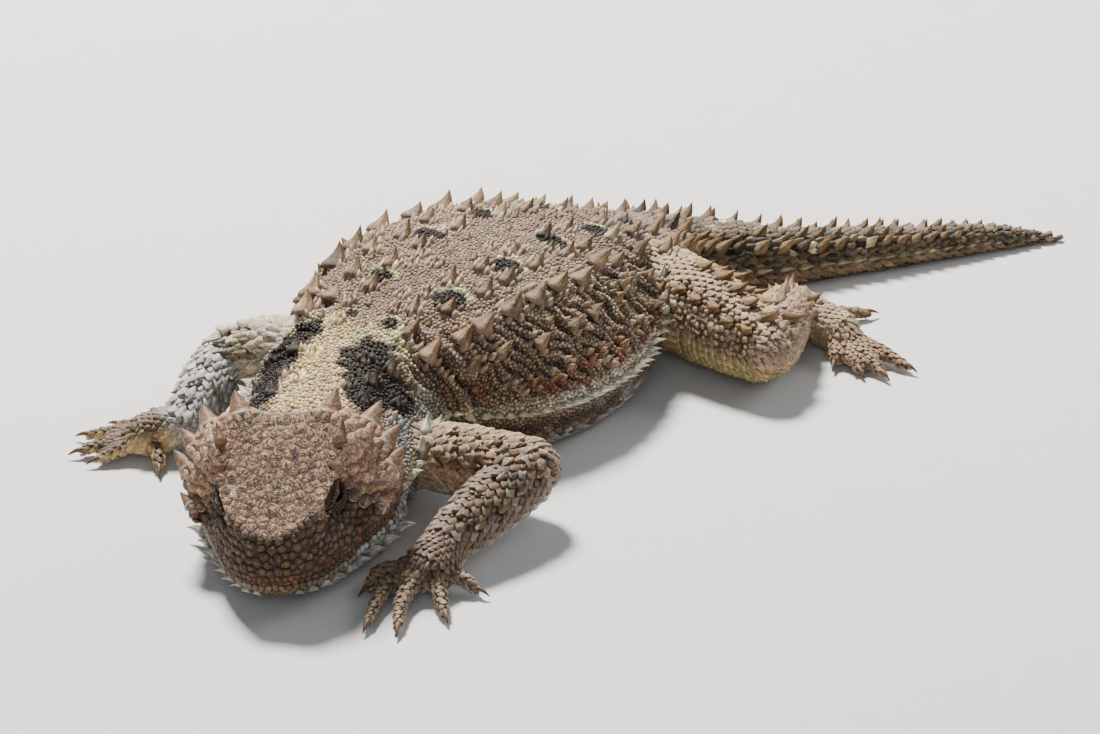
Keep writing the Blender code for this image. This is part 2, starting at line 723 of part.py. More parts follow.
class Ground:
    """The finished nodes, for keeping each spine clear of all but its own."""

    def __init__(self, items):
        graph = bpy.context.evaluated_depsgraph_get()
        self.trees = {item.name: BVHTree.FromObject(item, graph) for item in items}
        self.placed = []
        self.random = np.random.default_rng(7)

    def surface(self, name, point):
        spot, normal, _, distance = self.trees[name].find_nearest(Vector(point) * MM)
        return np.array(spot) / MM, np.array(normal), distance / MM

    def clear(self, name, start, tip, radius):
        samples = [start + (tip - start) * t for t in (0.0, 0.2, 0.45, 0.7, 1.0)]
        for t, sample in zip((0.0, 0.2, 0.45, 0.7, 1.0), samples):
            room = radius * (1 - t) + GAP + 0.12
            for other, tree in self.trees.items():
                if other == name:
                    continue
                found = tree.find_nearest(Vector(sample) * MM, room * MM)
                if found[0] is not None:
                    return False
            for other, points, size in self.placed:
                if other == name:
                    continue
                if min(np.linalg.norm(p - sample) for p in points) < room + size:
                    return False
        return True

    def grow(self, group, name, point, lean, length, radius):
        """Root a spine at the surface by the point, unless it meets another node."""
        spot, normal, distance = self.surface(name, point)
        if distance > 1.3:
            return
        length *= 1 + SPINE_VARIATION * self.random.uniform(-1, 1)
        axis = np.array(lean, float)
        axis = axis / np.linalg.norm(axis)
        facing = float(axis @ normal)
        if facing < 0.5:
            axis = axis + normal * (0.62 - facing)
            axis = axis / np.linalg.norm(axis)
            facing = float(axis @ normal)
        slope = math.sqrt(max(1 - facing ** 2, 0)) / facing
        start = spot - axis * (radius * slope + SPINE_SINK)
        tip = spot + axis * length
        tip[2] = max(tip[2], 0.15)
        if not self.clear(name, start, tip, radius):
            return
        self.placed.append((name, [start + (tip - start) * t for t in (0.2, 0.6, 1.0)], 0.5 * radius))
        cone(group, start, tip, radius)


def body_spines(ground, name, group):
    for place, first, last, step, lengths, radii, lean in BODY_ROWS[name]:
        count = int((last - first) / step + 0.5) + 1
        for side in (1, -1):
            for i, y in enumerate(np.linspace(first, last, count)):
                t = i / max(count - 1, 1)
                y = y + 0.12 * step * ground.random.uniform(-1, 1)
                point = body_point(y, place, side)
                normal = ground.surface(name, point)[1]
                back = heading(y)[0]
                way = normal * lean[0] + back * lean[1] + np.array((0, 0, lean[2]))
                length = lengths[0] + (lengths[1] - lengths[0]) * t
                radius = radii[0] + (radii[1] - radii[0]) * t
                ground.grow(group, name, point, way, length, radius)


def leg_spines(ground, name, group, start, end, radii):
    kind = name.rsplit("_", 1)[0]
    start, end = np.array(start, float), np.array(end, float)
    axis = (end - start) / np.linalg.norm(end - start)
    up = np.array((0.0, 0.0, 1.0)) - axis * axis[2]
    up = up / np.linalg.norm(up)
    ahead = np.cross(axis, up)
    if ahead[1] > 0:
        ahead = -ahead
    for angle, first, last, count, length, radius in LEG_ROWS[kind]:
        turn = math.radians(angle)
        out = math.cos(turn) * up + math.sin(turn) * ahead
        for t in np.linspace(first, last, count):
            place = start + (end - start) * t
            size = radii[0] + (radii[1] - radii[0]) * t
            ground.grow(group, name, place + out * size, out + 0.7 * axis, length, radius)


def head_spines(ground, group):
    for root, tip, radius in BROW_SPINES:
        for side in (1, -1):
            start = from_head((side * root[0], root[1], root[2]))
            end = from_head((side * tip[0], tip[1], tip[2]))
            if ground.clear("head", start, end, radius):
                cone(group, start, end, radius, 5)


def jaw_spines(ground, group):
    ring = head_ring(JAW_RING)
    half = [ring[i] for i in range(3, 15)]
    for side in (1, -1):
        for i, t in enumerate(np.linspace(0.3, 0.93, JAW_SPINES)):
            k = t * (len(half) - 1)
            low = int(k)
            point = half[low] + (half[low + 1] - half[low]) * (k - low)
            point = point * np.array((side, 1, 1))
            out = np.array((side * (0.5 + 0.5 * t), -0.5 + 0.9 * t, -0.12))
            way = from_head(out) - from_head((0, 0, 0))
            length = JAW_SPINE_LENGTHS[0] + (JAW_SPINE_LENGTHS[1] - JAW_SPINE_LENGTHS[0]) * t ** 2
            ground.grow(group, "jaw", from_head(point), way, length, 0.45 + 0.35 * t)


def add_spines(parts, legs):
    ground = Ground([item for item in parts.objects])
    for name in BODY_ROWS:
        group = new_collection(name + "_spines")
        body_spines(ground, name, group)
        join_group(parts.objects[name], group)
    for name, maker in (("head", head_spines), ("jaw", jaw_spines)):
        group = new_collection(name + "_spines")
        maker(ground, group)
        join_group(parts.objects[name], group)
    for names, joints in legs:
        for i, name in enumerate(names[:2]):
            group = new_collection(name + "_spines")
            radii = (joints[i][1], joints[i + 1][1])
            leg_spines(ground, name, group, joints[i][0], joints[i + 1][0], radii)
            join_group(parts.objects[name], group)


# Assembly

def make_body(parts):
    half = 0.5 * GAP
    neck = body_length("neck", parts, BODY[0, 0], NECK_END - half, 2)
    ahead = np.array(head_matrix().to_3x3() @ Vector((0, -1, 0)))
    keep_side(neck, from_head((0, HEAD_BACK + GAP, 0)), -ahead)
    lengths = {"neck": neck}
    lengths["torso"] = body_length("torso", parts, NECK_END + half, TORSO_END - half, 2)
    lengths["tail_base"] = body_length("tail_base", parts, TORSO_END + half, TAIL_BASE_END - half, 1)
    middle = (TAIL_BASE_END + half, TAIL_MIDDLE_END - half)
    lengths["tail_middle"] = body_length("tail_middle", parts, *middle, 1)
    lengths["tail_tip"] = body_length("tail_tip", parts, TAIL_MIDDLE_END + half, TAIL_END, 1)
    for item in lengths.values():
        paint(item, SKIN_TAN, 0.85)
    return lengths


def floor_block(tools):
    shape = bmesh.new()
    bmesh.ops.create_cube(shape, size=1.0)
    bmesh.ops.scale(shape, vec=(0.3, 0.3, 0.02), verts=shape.verts)
    bmesh.ops.translate(shape, vec=(0, 0, -0.01), verts=shape.verts)
    mesh = bpy.data.meshes.new("floor_cutter")
    shape.to_mesh(mesh)
    shape.free()
    item = bpy.data.objects.new("floor_cutter", mesh)
    item.hide_render = True
    item.display_type = "WIRE"
    tools.objects.link(item)
    return item


def build():
    clear_scene()
    parts = new_collection("horned_lizard")
    tools = new_collection("cutters")
    floor = floor_block(tools)
    body = make_body(parts)
    head = make_head(parts)
    jaw = make_jaw(parts)
    cut(jaw, floor)
    make_horns(parts, grown_copy(head, tools))
    open_eyes(head, parts, tools)
    open_nostrils(head, tools)
    paint(head, SKIN_BROWN, 0.8)
    paint(jaw, SKIN_TAN, 0.8)
    trunk = [grown_copy(body[name], tools) for name in ("neck", "torso", "tail_base")]
    front = ((0.3, 0.4, 0.0), (trunk[0], trunk[1]))
    rear = ((0.9, 0.5, 0.0), (trunk[1], trunk[2]))
    legs = []
    for kinds, label, joints, toes, (bulges, blockers) in (
        (("upper_arm", "forearm", "hand"), "left", ARM_LEFT, TOES_HAND_LEFT, front),
        (("upper_arm", "forearm", "hand"), "right", ARM_RIGHT, TOES_HAND_RIGHT, front),
        (("thigh", "shin", "foot"), "left", LEG_LEFT, TOES_FOOT_LEFT, rear),
        (("thigh", "shin", "foot"), "right", LEG_RIGHT, TOES_FOOT_RIGHT, rear),
    ):
        names = [kind + "_" + label for kind in kinds]
        make_leg(parts, names, joints, bulges, toes, blockers, floor)
        legs.append((names, joints))
    add_spines(parts, legs)


build()
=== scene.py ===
"""A life-size greater short-horned lizard: skin, scales, spines, horns, eyes and stage.

Run as a script. Lengths in the tables are millimetres, as in the part's source.
"""
import math

import bmesh
import bpy
import numpy as np
from mathutils import Matrix, Vector
from mathutils.bvhtree import BVHTree
from mathutils.kdtree import KDTree


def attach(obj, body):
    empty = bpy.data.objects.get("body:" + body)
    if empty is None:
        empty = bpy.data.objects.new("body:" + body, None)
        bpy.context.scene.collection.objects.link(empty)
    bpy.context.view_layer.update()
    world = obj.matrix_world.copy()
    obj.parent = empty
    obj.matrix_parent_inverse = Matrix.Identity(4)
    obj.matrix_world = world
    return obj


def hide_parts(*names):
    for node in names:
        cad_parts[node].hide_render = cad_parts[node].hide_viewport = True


bl_info = {
    "name": "Horned Lizard",
    "version": (1, 0, 0),
    "blender": (4, 5, 0),
    "location": "View3D > Sidebar > Lizard",
    "description": "Skin, scales, spines, horns and eyes of a life-size horned lizard",
    "category": "Add Mesh",
}

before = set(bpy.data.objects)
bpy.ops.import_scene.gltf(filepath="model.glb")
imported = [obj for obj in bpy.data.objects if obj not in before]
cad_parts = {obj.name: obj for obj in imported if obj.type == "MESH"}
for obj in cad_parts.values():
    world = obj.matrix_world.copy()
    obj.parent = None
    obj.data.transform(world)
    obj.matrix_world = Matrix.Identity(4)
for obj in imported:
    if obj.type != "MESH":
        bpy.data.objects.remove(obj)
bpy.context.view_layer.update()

MM = 0.001
SEED = 11
SIDES = (1, -1)

# Body table: y, x of the middle line, height of the back, half width, height of
# the side edge, half width and height of the ridge beside the back
BODY = np.array((
    (-40.0, 13.5, 12.2, 10.0, 5.4, 6.0, 11.4),
    (-33.5, 9.2, 13.1, 10.4, 5.6, 5.6, 12.1),
    (-26.5, 4.6, 13.1, 10.6, 6.0, 5.6, 12.2),
    (-22.0, 2.2, 13.4, 10.6, 6.6, 6.2, 12.4),
    (-19.0, 0.8, 14.0, 11.0, 7.0, 7.0, 12.5),
    (-14.0, -0.2, 15.2, 14.5, 6.2, 9.5, 13.5),
    (-7.0, -0.8, 16.5, 18.0, 6.0, 11.5, 15.0),
    (0.0, -1.0, 17.0, 19.2, 6.0, 12.2, 15.5),
    (7.0, -0.9, 16.8, 18.2, 6.0, 11.0, 15.2),
    (12.0, -0.7, 16.1, 16.2, 6.0, 9.5, 14.3),
    (16.0, -0.5, 15.0, 13.3, 6.3, 8.0, 13.2),
    (20.0, -0.6, 13.8, 10.3, 6.3, 7.0, 12.0),
    (24.0, -0.8, 12.0, 8.6, 6.0, 6.2, 10.5),
    (30.0, -1.2, 9.5, 7.0, 4.6, 4.6, 8.4),
    (36.0, 0.6, 7.5, 5.2, 3.4, 3.2, 6.6),
    (43.2, 5.8, 6.0, 3.3, 2.6, 1.9, 5.3),
    (56.2, 13.0, 4.2, 2.3, 1.9, 1.3, 3.8),
    (67.3, 19.0, 2.6, 1.5, 1.2, 0.8, 2.35),
    (74.0, 23.4, 0.7, 0.35, 0.32, 0.2, 0.62),
))
BODY_START = -38.0
NECK_END = -20.0
TAIL_START = 27.0
TAIL_END = 74.0

# Head, in its own frame: -Y is forward, the origin is under the middle
HEAD_PLACE = (13.7, -39.4, 2.5)
HEAD_YAW = 38.0
HEAD_PITCH = 12.0
HEAD_ROLL = -5.7
HEAD_BACK = 5.6
# Each ring runs from the front to the back of the left half
LIP_RING = (
    (0, -10.8, 3.4), (3.4, -9.8, 3.1), (6.0, -6.7, 2.4), (8.1, -2.4, 1.8),
    (10.1, 2.4, 1.4), (9.2, 6.6, 1.5), (0, 7.4, 1.6),
)
LABIAL_RING = (
    (0, -11.0, 4.7), (3.5, -9.9, 4.5), (6.0, -6.6, 4.1), (8.2, -2.3, 3.9),
    (10.8, 2.8, 4.0), (9.4, 7.0, 4.4), (0, 7.7, 4.4),
)
CHEEK_RING = (
    (0, -10.4, 6.2), (3.0, -9.5, 6.3), (5.3, -6.2, 6.5), (7.2, -2.0, 6.7),
    (10.9, 3.0, 7.1), (8.8, 7.4, 8.4), (0, 7.6, 8.2),
)
UNDER_BROW_RING = (
    (0, -9.6, 7.6), (2.7, -9.0, 7.9), (4.7, -5.5, 8.4), (6.2, -1.1, 9.3),
    (8.8, 3.0, 9.9), (7.0, 6.5, 11.1), (0, 6.6, 10.9),
)
BROW_RING = (
    (0, -8.7, 8.3), (2.7, -8.7, 8.8), (5.4, -5.3, 9.6), (6.6, -0.4, 11.6),
    (6.6, 3.1, 12.6), (4.7, 5.3, 12.8), (0, 5.3, 12.4),
)
CROWN_RING = (
    (0, -7.2, 8.6), (2.0, -6.9, 8.8), (4.0, -4.2, 9.7), (4.9, -0.2, 11.2),
    (4.9, 2.3, 12.2), (3.2, 3.9, 12.5), (0, 3.9, 12.2),
)
JAW_RING = (
    (0, -10.1, 1.9), (3.2, -9.1, 1.6), (5.8, -6.1, 0.9), (8.1, -1.9, 0.0),
    (10.6, 2.8, -0.4), (9.4, 6.8, -0.6), (0, 7.4, -0.6),
)
THROAT_RING = (
    (0, -8.4, 0.3), (2.6, -7.6, 0.0), (4.8, -5.2, -0.8), (6.8, -1.6, -2.0),
    (8.6, 2.4, -3.1), (7.4, 6.2, -3.6), (0, 6.8, -3.6),
)
EYE_PLACE = (4.4, -2.4, 8.0)
EYE_RADIUS = 1.9
NOSTRIL_PLACE = (1.9, -10.0, 7.0)
# name, root, tip, root radius, in the head's frame, left side
HORNS = (
    ("horn_occipital", (4.1, 3.9, 10.9), (5.3, 7.3, 14.0), 2.0),
    ("horn_temporal_upper", (7.2, 4.1, 9.4), (9.4, 8.3, 11.4), 1.9),
    ("horn_temporal_middle", (8.5, 3.4, 7.9), (11.5, 6.3, 9.9), 1.75),
    ("horn_temporal_lower", (9.2, 1.6, 6.6), (12.1, 4.4, 8.7), 1.6),
    ("horn_cheek", (9.0, -1.5, 4.9), (11.2, 0.7, 6.2), 1.1),
)
BROW_SPINES = (
    ((6.0, 1.4, 11.9), (6.5, 3.2, 13.7), 0.95),
    ((6.2, -1.4, 10.9), (6.8, 0.1, 12.3), 0.7),
)

# Legs: name, joints with their radii, swellings, toes as knuckle and claw tip
LEGS = (
    ("arm_left", (
        ((10.0, -21.8, 4.4), 3.1), ((24.8, -16.7, 6.0), 2.9),
        ((25.9, -29.8, 3.4), 2.2), ((26.8, -33.2, 2.2), 2.5),
    ), (0.3, 0.4, 0.0), (
        ((23.0, -36.0), (23.8, -40.4)), ((25.4, -37.9), (29.2, -44.8)),
        ((28.2, -38.3), (32.1, -43.0)), ((29.9, -35.0), (34.0, -37.7)),
        ((30.2, -31.6), (33.2, -31.0)),
    )),
    ("arm_right", (
        ((-9.0, -19.5, 8.2), 3.6), ((-15.5, -22.5, 6.8), 2.7),
        ((-12.2, -32.0, 3.2), 2.1), ((-14.4, -35.0, 2.1), 2.3),
    ), (0.3, 0.4, 0.0), (
        ((-11.6, -36.2), (-8.9, -38.4)), ((-15.2, -38.4), (-16.6, -42.2)),
        ((-17.1, -38.2), (-19.6, -42.2)), ((-18.4, -36.4), (-22.3, -39.0)),
        ((-18.0, -34.0), (-22.0, -34.6)),
    )),
    ("leg_left", (
        ((6.0, 22.0, 6.5), 4.8), ((22.8, 21.3, 4.9), 3.4),
        ((16.0, 33.4, 3.4), 2.5), ((22.3, 34.5, 2.1), 2.3),
    ), (0.9, 0.5, 0.0), (
        ((24.5, 31.6), (26.2, 29.2)), ((26.2, 32.2), (29.7, 30.6)),
        ((27.6, 33.4), (32.2, 32.0)), ((27.4, 35.4), (33.1, 35.7)),
        ((18.4, 38.8), (20.6, 43.8)),
    )),
    ("leg_right", (
        ((-7.0, 21.0, 6.5), 4.6), ((-20.0, 10.4, 4.6), 3.3),
        ((-17.2, 22.0, 3.1), 2.4), ((-18.8, 25.6, 2.1), 2.4),
    ), (0.9, 0.5, 0.0), (
        ((-20.9, 23.6), (-22.6, 21.6)), ((-22.6, 25.0), (-25.2, 24.4)),
        ((-22.6, 27.4), (-25.6, 28.2)), ((-21.2, 29.4), (-23.4, 32.2)),
        ((-17.2, 29.8), (-16.6, 33.6)),
    )),
)
TOE_RADIUS = 0.95
CLAW_LENGTH = 1.9

# Palette, as display values
COLOURS = {
    "back": (162, 142, 124),
    "back_rose": (156, 130, 112),
    "flank": (134, 114, 94),
    "flank_pale": (150, 128, 102),
    "rust": (134, 76, 58),
    # The dark patches' colour, also used for the painted shade round the eyes and on the lids
    "blotch_and_shade": (22, 16, 14),
    "crescent": (226, 218, 170),
    "stripe": (214, 191, 146),
    "fringe": (222, 216, 190),
    "fringe_green": (178, 172, 128),
    "under_fringe": (84, 67, 54),
    "belly": (172, 168, 160),
    "neck_bead": (142, 140, 138),
    "crown": (166, 133, 94),
    "crown_rose": (170, 127, 97),
    # temple: its own colour lightened with painted light
    "seam": (180, 168, 162),
    "temple": (198, 153, 120),
    # snout: its own brown, darkened with painted shade below the brow ridges
    "snout": (96, 71, 48),
    "lip_rust": (150, 92, 56),
    "lip_blue": (136, 138, 140),
    "chin": (170, 172, 168),
    "chin_ochre": (120, 96, 66),
    "horn": (130, 98, 70),
    "spine": (136, 100, 48),
    "arm": (140, 116, 92),
    "forearm": (100, 81, 64),
    "arm_blue": (156, 154, 148),
    "toe_cream": (190, 160, 108),
    "leg": (150, 128, 100),
    "leg_under": (152, 134, 84),
    "toe_ochre": (124, 96, 66),
    "tail": (88, 76, 64),
    "claw": (104, 74, 48),
}


def linear(colour):
    value = np.array(colour, float) / 255.0
    return np.where(value <= 0.04045, value / 12.92, ((value + 0.055) / 1.055) ** 2.4)


# Small tools

def unit(vectors):
    vectors = np.asarray(vectors, float)
    return vectors / np.maximum(np.linalg.norm(vectors, axis=-1, keepdims=True), 1e-12)


def ramp(value, low, high):
    """0 below low, 1 above high and smooth between, also where low is the greater."""
    t = np.clip((np.asarray(value, float) - low) / (high - low), 0.0, 1.0)
    return t * t * (3.0 - 2.0 * t)


def mix(first, second, share):
    share = np.clip(np.asarray(share, float), 0.0, 1.0)[..., None]
    return np.asarray(first) * (1.0 - share) + np.asarray(second) * share


def drift(points, size, seed, waves=14):
    """Smooth noise from about -1 to 1, whose features are about size across."""
    random = np.random.default_rng(seed)
    ways = unit(random.normal(size=(waves, 3)))
    rates = random.uniform(0.7, 1.5, waves)[:, None] * ways * (2.0 * math.pi / size)
    phases = random.uniform(0.0, 2.0 * math.pi, waves)
    return np.clip(np.sin(points @ rates.T + phases).sum(1) * (0.95 / math.sqrt(waves)), -1.2, 1.2)


def hermite(p0, p1, p2, p3, t):
    a = 2.0 * p1
    b = p2 - p0
    c = 2.0 * p0 - 5.0 * p1 + 4.0 * p2 - p3
    d = 3.0 * p1 - p0 - 3.0 * p2 + p3
    return 0.5 * (a + b * t + c * t * t + d * t ** 3)


def closed_curve(points, detail):
    points = np.asarray(points, float)
    total = len(points)
    result = []
    for i in range(total):
        around = [points[(i + k) % total] for k in (-1, 0, 1, 2)]
        result += [hermite(*around, step / detail) for step in range(detail)]
    return np.array(result)


def open_curve(points, detail):
    points = np.asarray(points, float)
    padded = np.vstack((2 * points[0] - points[1], points, 2 * points[-1] - points[-2]))
    result = []
    for i in range(len(points) - 1):
        result += [hermite(*padded[i:i + 4], step / detail) for step in range(detail)]
    return np.array(result + [points[-1]])


def walk(curve, step):
    """Points at about equal steps along a curve, with the way it runs at each."""
    lengths = np.linalg.norm(np.diff(curve, axis=0), axis=1)
    total = np.concatenate(((0.0,), np.cumsum(lengths)))
    places = np.linspace(0.0, total[-1], max(2, round(total[-1] / step)) + 1)
    spots = np.stack([np.interp(places, total, curve[:, k]) for k in range(3)], 1)
    return spots, unit(np.gradient(spots, axis=0))


def station(y):
    """Values of the body table at y, by a cubic through the rows."""
    rows = BODY[:, 0]
    i = int(np.clip(np.searchsorted(rows, y) - 1, 0, len(rows) - 2))
    slopes = np.gradient(BODY[:, 1:], rows, axis=0)
    span = rows[i + 1] - rows[i]
    t = (y - rows[i]) / span
    low = (2 * t ** 3 - 3 * t ** 2 + 1) * BODY[i, 1:] + (t ** 3 - 2 * t ** 2 + t) * span * slopes[i]
    high = (-2 * t ** 3 + 3 * t ** 2) * BODY[i + 1, 1:] + (t ** 3 - t ** 2) * span * slopes[i + 1]
    return low + high


STATIONS = np.linspace(BODY[0, 0], BODY[-1, 0], 571)
TABLE = np.array([station(y) for y in STATIONS])
SLOPE = np.gradient(TABLE[:, 0], STATIONS)


def heading(y):
    rate = float(np.interp(y, STATIONS, SLOPE))
    size = math.hypot(1.0, rate)
    return np.array((rate / size, 1.0 / size, 0.0)), np.array((1.0 / size, -rate / size, 0.0))


def side_outline(top, half, edge, ridge, ridge_z):
    """Half a section, from the middle of the belly to the middle of the back."""
    return (
        (0.0, 0.0), (0.78 * half, 0.0), (0.95 * half, 0.35 * edge), (half, edge),
        (0.86 * half, edge + 0.42 * (top - edge)), (ridge, ridge_z),
        (0.34 * half, 0.985 * top), (0.0, top),
    )


def tail_rings(y):
    """Counts the tail's rings of spines from its root, which come closer to the tip."""
    past = y - 27.0
    return past / 2.7 + 0.004 * past * past


def body_ring(y, detail):
    x, top, half, edge, ridge, ridge_z = station(y)
    side = side_outline(top, half, edge, ridge, ridge_z)
    outline = list(side) + [(-a, b) for a, b in side[-2:0:-1]]
    curve = closed_curve(outline, detail)
    curve[:, 1] = np.maximum(curve[:, 1], 0.0)
    across = heading(y)[1]
    return np.array((x, y, 0.0)) + curve[:, :1] * across + curve[:, 1:] * np.array((0, 0, 1.0))


def body_point(y, place, side):
    """A point of the body by its place across: 3 is the side edge, 5 the ridge."""
    x, top, half, edge, ridge, ridge_z = station(y)
    outline = side_outline(top, half, edge, ridge, ridge_z)
    i = int(min(place, 6))
    around = np.array([outline[abs(k)] if k < 8 else outline[14 - k] for k in (i - 1, i, i + 1, i + 2)])
    if i == 0:
        around[0, 0] *= -1
    if i == 6:
        around[3, 0] *= -1
    a, b = hermite(*around, place - i)
    return np.array((x, y, 0.0)) + side * a * heading(y)[1] + np.array((0, 0, max(b, 0.0)))


class BodyPlace:
    """Where points lie on the trunk: along it, across it, and up its side."""

    def __init__(self, points):
        along = points[:, 1].copy()
        for _ in range(5):
            rate = np.interp(along, STATIONS, SLOPE)
            size = np.sqrt(1.0 + rate ** 2)
            aside = points[:, 0] - np.interp(along, STATIONS, TABLE[:, 0])
            along += (aside * rate + points[:, 1] - along) / size ** 2
        along = np.clip(along, STATIONS[0], STATIONS[-1])
        rate = np.interp(along, STATIONS, SLOPE)
        aside = points[:, 0] - np.interp(along, STATIONS, TABLE[:, 0])
        self.along = along
        self.across = (aside - (points[:, 1] - along) * rate) / np.sqrt(1.0 + rate ** 2)
        self.top, self.half, self.edge, self.ridge, ridge_z = [
            np.interp(along, STATIONS, TABLE[:, k]) for k in range(1, 6)
        ]
        # 0 at the fringe, 1 at the ridge beside the back, below 0 on the belly's side
        self.up = (points[:, 2] - self.edge) / (ridge_z - self.edge)
        self.back = np.stack((rate, np.ones_like(rate), np.zeros_like(rate)), 1)
        self.back = unit(self.back)


def head_matrix():
    yaw = Matrix.Rotation(math.radians(HEAD_YAW), 4, "Z")
    pitch = Matrix.Rotation(math.radians(HEAD_PITCH), 4, "X")
    roll = Matrix.Rotation(math.radians(HEAD_ROLL), 4, "Y")
    return Matrix.Translation(HEAD_PLACE) @ yaw @ pitch @ roll


HEAD = np.array(head_matrix())


def from_head(points):
    return np.asarray(points, float) @ HEAD[:3, :3].T + HEAD[:3, 3]


def into_head(points):
    return (np.asarray(points, float) - HEAD[:3, 3]) @ HEAD[:3, :3]


def turn_from_head(ways):
    return np.asarray(ways, float) @ HEAD[:3, :3].T


def mirrored(half):
    return list(half) + [(-x, y, z) for x, y, z in half[-2:0:-1]]


def head_ring(half, lift=0.0, shrink=1.0, detail=8):
    points = np.array(mirrored(half), float)
    points[:, 0] *= shrink
    points[:, 1] = -1.0 + (points[:, 1] + 1.0) * shrink
    points[:, 2] += lift
    return closed_curve(points, detail)


def between(rings, steps=4):
    """The rings with more between each two, on a smooth curve."""
    stack = np.array(rings)
    padded = np.concatenate((stack[:1] * 2 - stack[1:2], stack, stack[-1:] * 2 - stack[-2:-1]))
    result = []
    for i in range(len(stack) - 1):
        result += [hermite(*padded[i:i + 4], k / steps) for k in range(steps)]
    return result + [stack[-1]]


def frame_along(direction):
    axis = unit(direction)
    helper = np.array((0.0, 0.0, 1.0)) if abs(axis[2]) < 0.9 else np.array((1.0, 0.0, 0.0))
    side = unit(np.cross(helper, axis))
    return axis, side, np.cross(axis, side)


def circle(centre, direction, radius, count):
    _, side, up = frame_along(direction)
    angles = np.linspace(0, 2 * math.pi, count, endpoint=False)[:, None]
    return centre + radius * (np.cos(angles) * side + np.sin(angles) * up)


# Meshes

def deselect():
    if bpy.context.object and bpy.context.object.mode != "OBJECT":
        bpy.ops.object.mode_set(mode="OBJECT")
    bpy.ops.object.select_all(action="DESELECT")


def show_only(item):
    deselect()
    item.select_set(True)
    bpy.context.view_layer.objects.active = item


def new_object(name, points, faces):
    """An object from points in millimetres and arrays of faces."""
    mesh = bpy.data.meshes.new(name)
    loops = np.concatenate([part.ravel() for part in faces]).astype(np.int32)
    sizes = np.concatenate([np.full(len(part), part.shape[1], np.int32) for part in faces])
    mesh.vertices.add(len(points))
    mesh.vertices.foreach_set("co", (np.asarray(points) * MM).astype(np.float32).ravel())
    mesh.loops.add(len(loops))
    mesh.loops.foreach_set("vertex_index", loops)
    mesh.polygons.add(len(sizes))
    mesh.polygons.foreach_set("loop_start", (np.cumsum(sizes) - sizes).astype(np.int32))
    mesh.update(calc_edges=True)
    mesh.shade_smooth()
    item = bpy.data.objects.new(name, mesh)
    bpy.context.scene.collection.objects.link(item)
    return item


def dome(name, rings, first, last):
    """A closed solid through the rings, with a point at each end."""
    rings = np.array(rings)
    rows, count = rings.shape[:2]
    points = np.vstack((rings.reshape(-1, 3), first, last))
    i = np.arange(count)
    j = (i + 1) % count
    faces = []
    for r in range(rows - 1):
        a, b = r * count, (r + 1) * count
        faces += [np.stack((a + i, a + j, b + j), 1), np.stack((a + i, b + j, b + i), 1)]
    start, end, base = len(points) - 2, len(points) - 1, (rows - 1) * count
    faces.append(np.stack((np.full(count, start), j, i), 1))
    faces.append(np.stack((np.full(count, end), base + i, base + j), 1))
    return new_object(name, points, faces)


def outward(item):
    """Turn the faces outward."""
    shape = bmesh.new()
    shape.from_mesh(item.data)
    bmesh.ops.recalc_face_normals(shape, faces=shape.faces)
    if shape.calc_volume(signed=True) < 0:
        bmesh.ops.reverse_faces(shape, faces=shape.faces)
    shape.to_mesh(item.data)
    shape.free()


def apply_modifier(item, kind, **values):
    show_only(item)
    change = item.modifiers.new(kind, kind)
    for key, value in values.items():
        setattr(change, key, value)
    bpy.ops.object.modifier_apply(modifier=change.name)


def join(items, name):
    deselect()
    for item in items:
        item.select_set(True)
    bpy.context.view_layer.objects.active = items[0]
    bpy.ops.object.join()
    items[0].name = name
    items[0].data.name = name
    return items[0]


def points_of(mesh):
    points = np.empty(len(mesh.vertices) * 3, np.float32)
    mesh.vertices.foreach_get("co", points)
    return points.reshape(-1, 3).astype(float) / MM


def put_points(mesh, points):
    mesh.vertices.foreach_set("co", (np.asarray(points) * MM).astype(np.float32).ravel())
    mesh.update()


def vertex_normals(mesh):
    normals = np.empty(len(mesh.vertices) * 3, np.float32)
    mesh.vertex_normals.foreach_get("vector", normals)
    return normals.reshape(-1, 3).astype(float)


def store(mesh, name, kind, values):
    attribute = mesh.attributes.new(name, kind, "POINT")
    values = np.asarray(values, np.float32)
    if kind == "FLOAT_COLOR":
        values = np.column_stack((values, np.ones(len(values), np.float32)))
        attribute.data.foreach_set("color", values.ravel())
    elif kind == "FLOAT_VECTOR":
        attribute.data.foreach_set("vector", values.ravel())
    else:
        attribute.data.foreach_set("value", values.ravel())


# Skin

def trunk_solid():
    rings = [body_ring(y, 5) for y in np.arange(BODY_START, TAIL_END, 0.8)]
    first = rings[0].mean(0)
    last = np.array((*TABLE[-1, :1], TAIL_END, 0.35))
    return dome("trunk", rings, first, last)


def head_solid():
    crown = head_ring(CROWN_RING)
    middle = head_ring(CROWN_RING, -0.1, 0.5)
    middle[:, 2] = 10.85 + 0.36 * (middle[:, 1] + 1.0)
    under = head_ring(THROAT_RING, -1.0, 0.6)
    sides = (THROAT_RING, JAW_RING, LIP_RING, LABIAL_RING, CHEEK_RING, UNDER_BROW_RING, BROW_RING)
    rings = between([under] + [head_ring(r) for r in sides] + [crown, middle])
    world = [from_head(ring) for ring in rings]
    return dome("skull", world, from_head((0, -1.0, -4.6)), from_head((0, -1.0, 10.9)))


def bone_rings(start, end, radii, bulge, count=24):
    start, end = np.array(start), np.array(end)
    axis = unit(end - start)
    rings = []
    for a in (75, 50, 25):
        turn = math.radians(a)
        rings.append(circle(start - axis * radii[0] * math.sin(turn), axis, radii[0] * math.cos(turn), count))
    for t in np.linspace(0, 1, 9):
        radius = radii[0] + (radii[1] - radii[0]) * t + bulge * math.sin(math.pi * t)
        rings.append(circle(start + (end - start) * t, axis, radius, count))
    for a in (25, 50, 75):
        turn = math.radians(a)
        rings.append(circle(end + axis * radii[1] * math.sin(turn), axis, radii[1] * math.cos(turn), count))
    return rings, start - axis * radii[0], end + axis * radii[1]


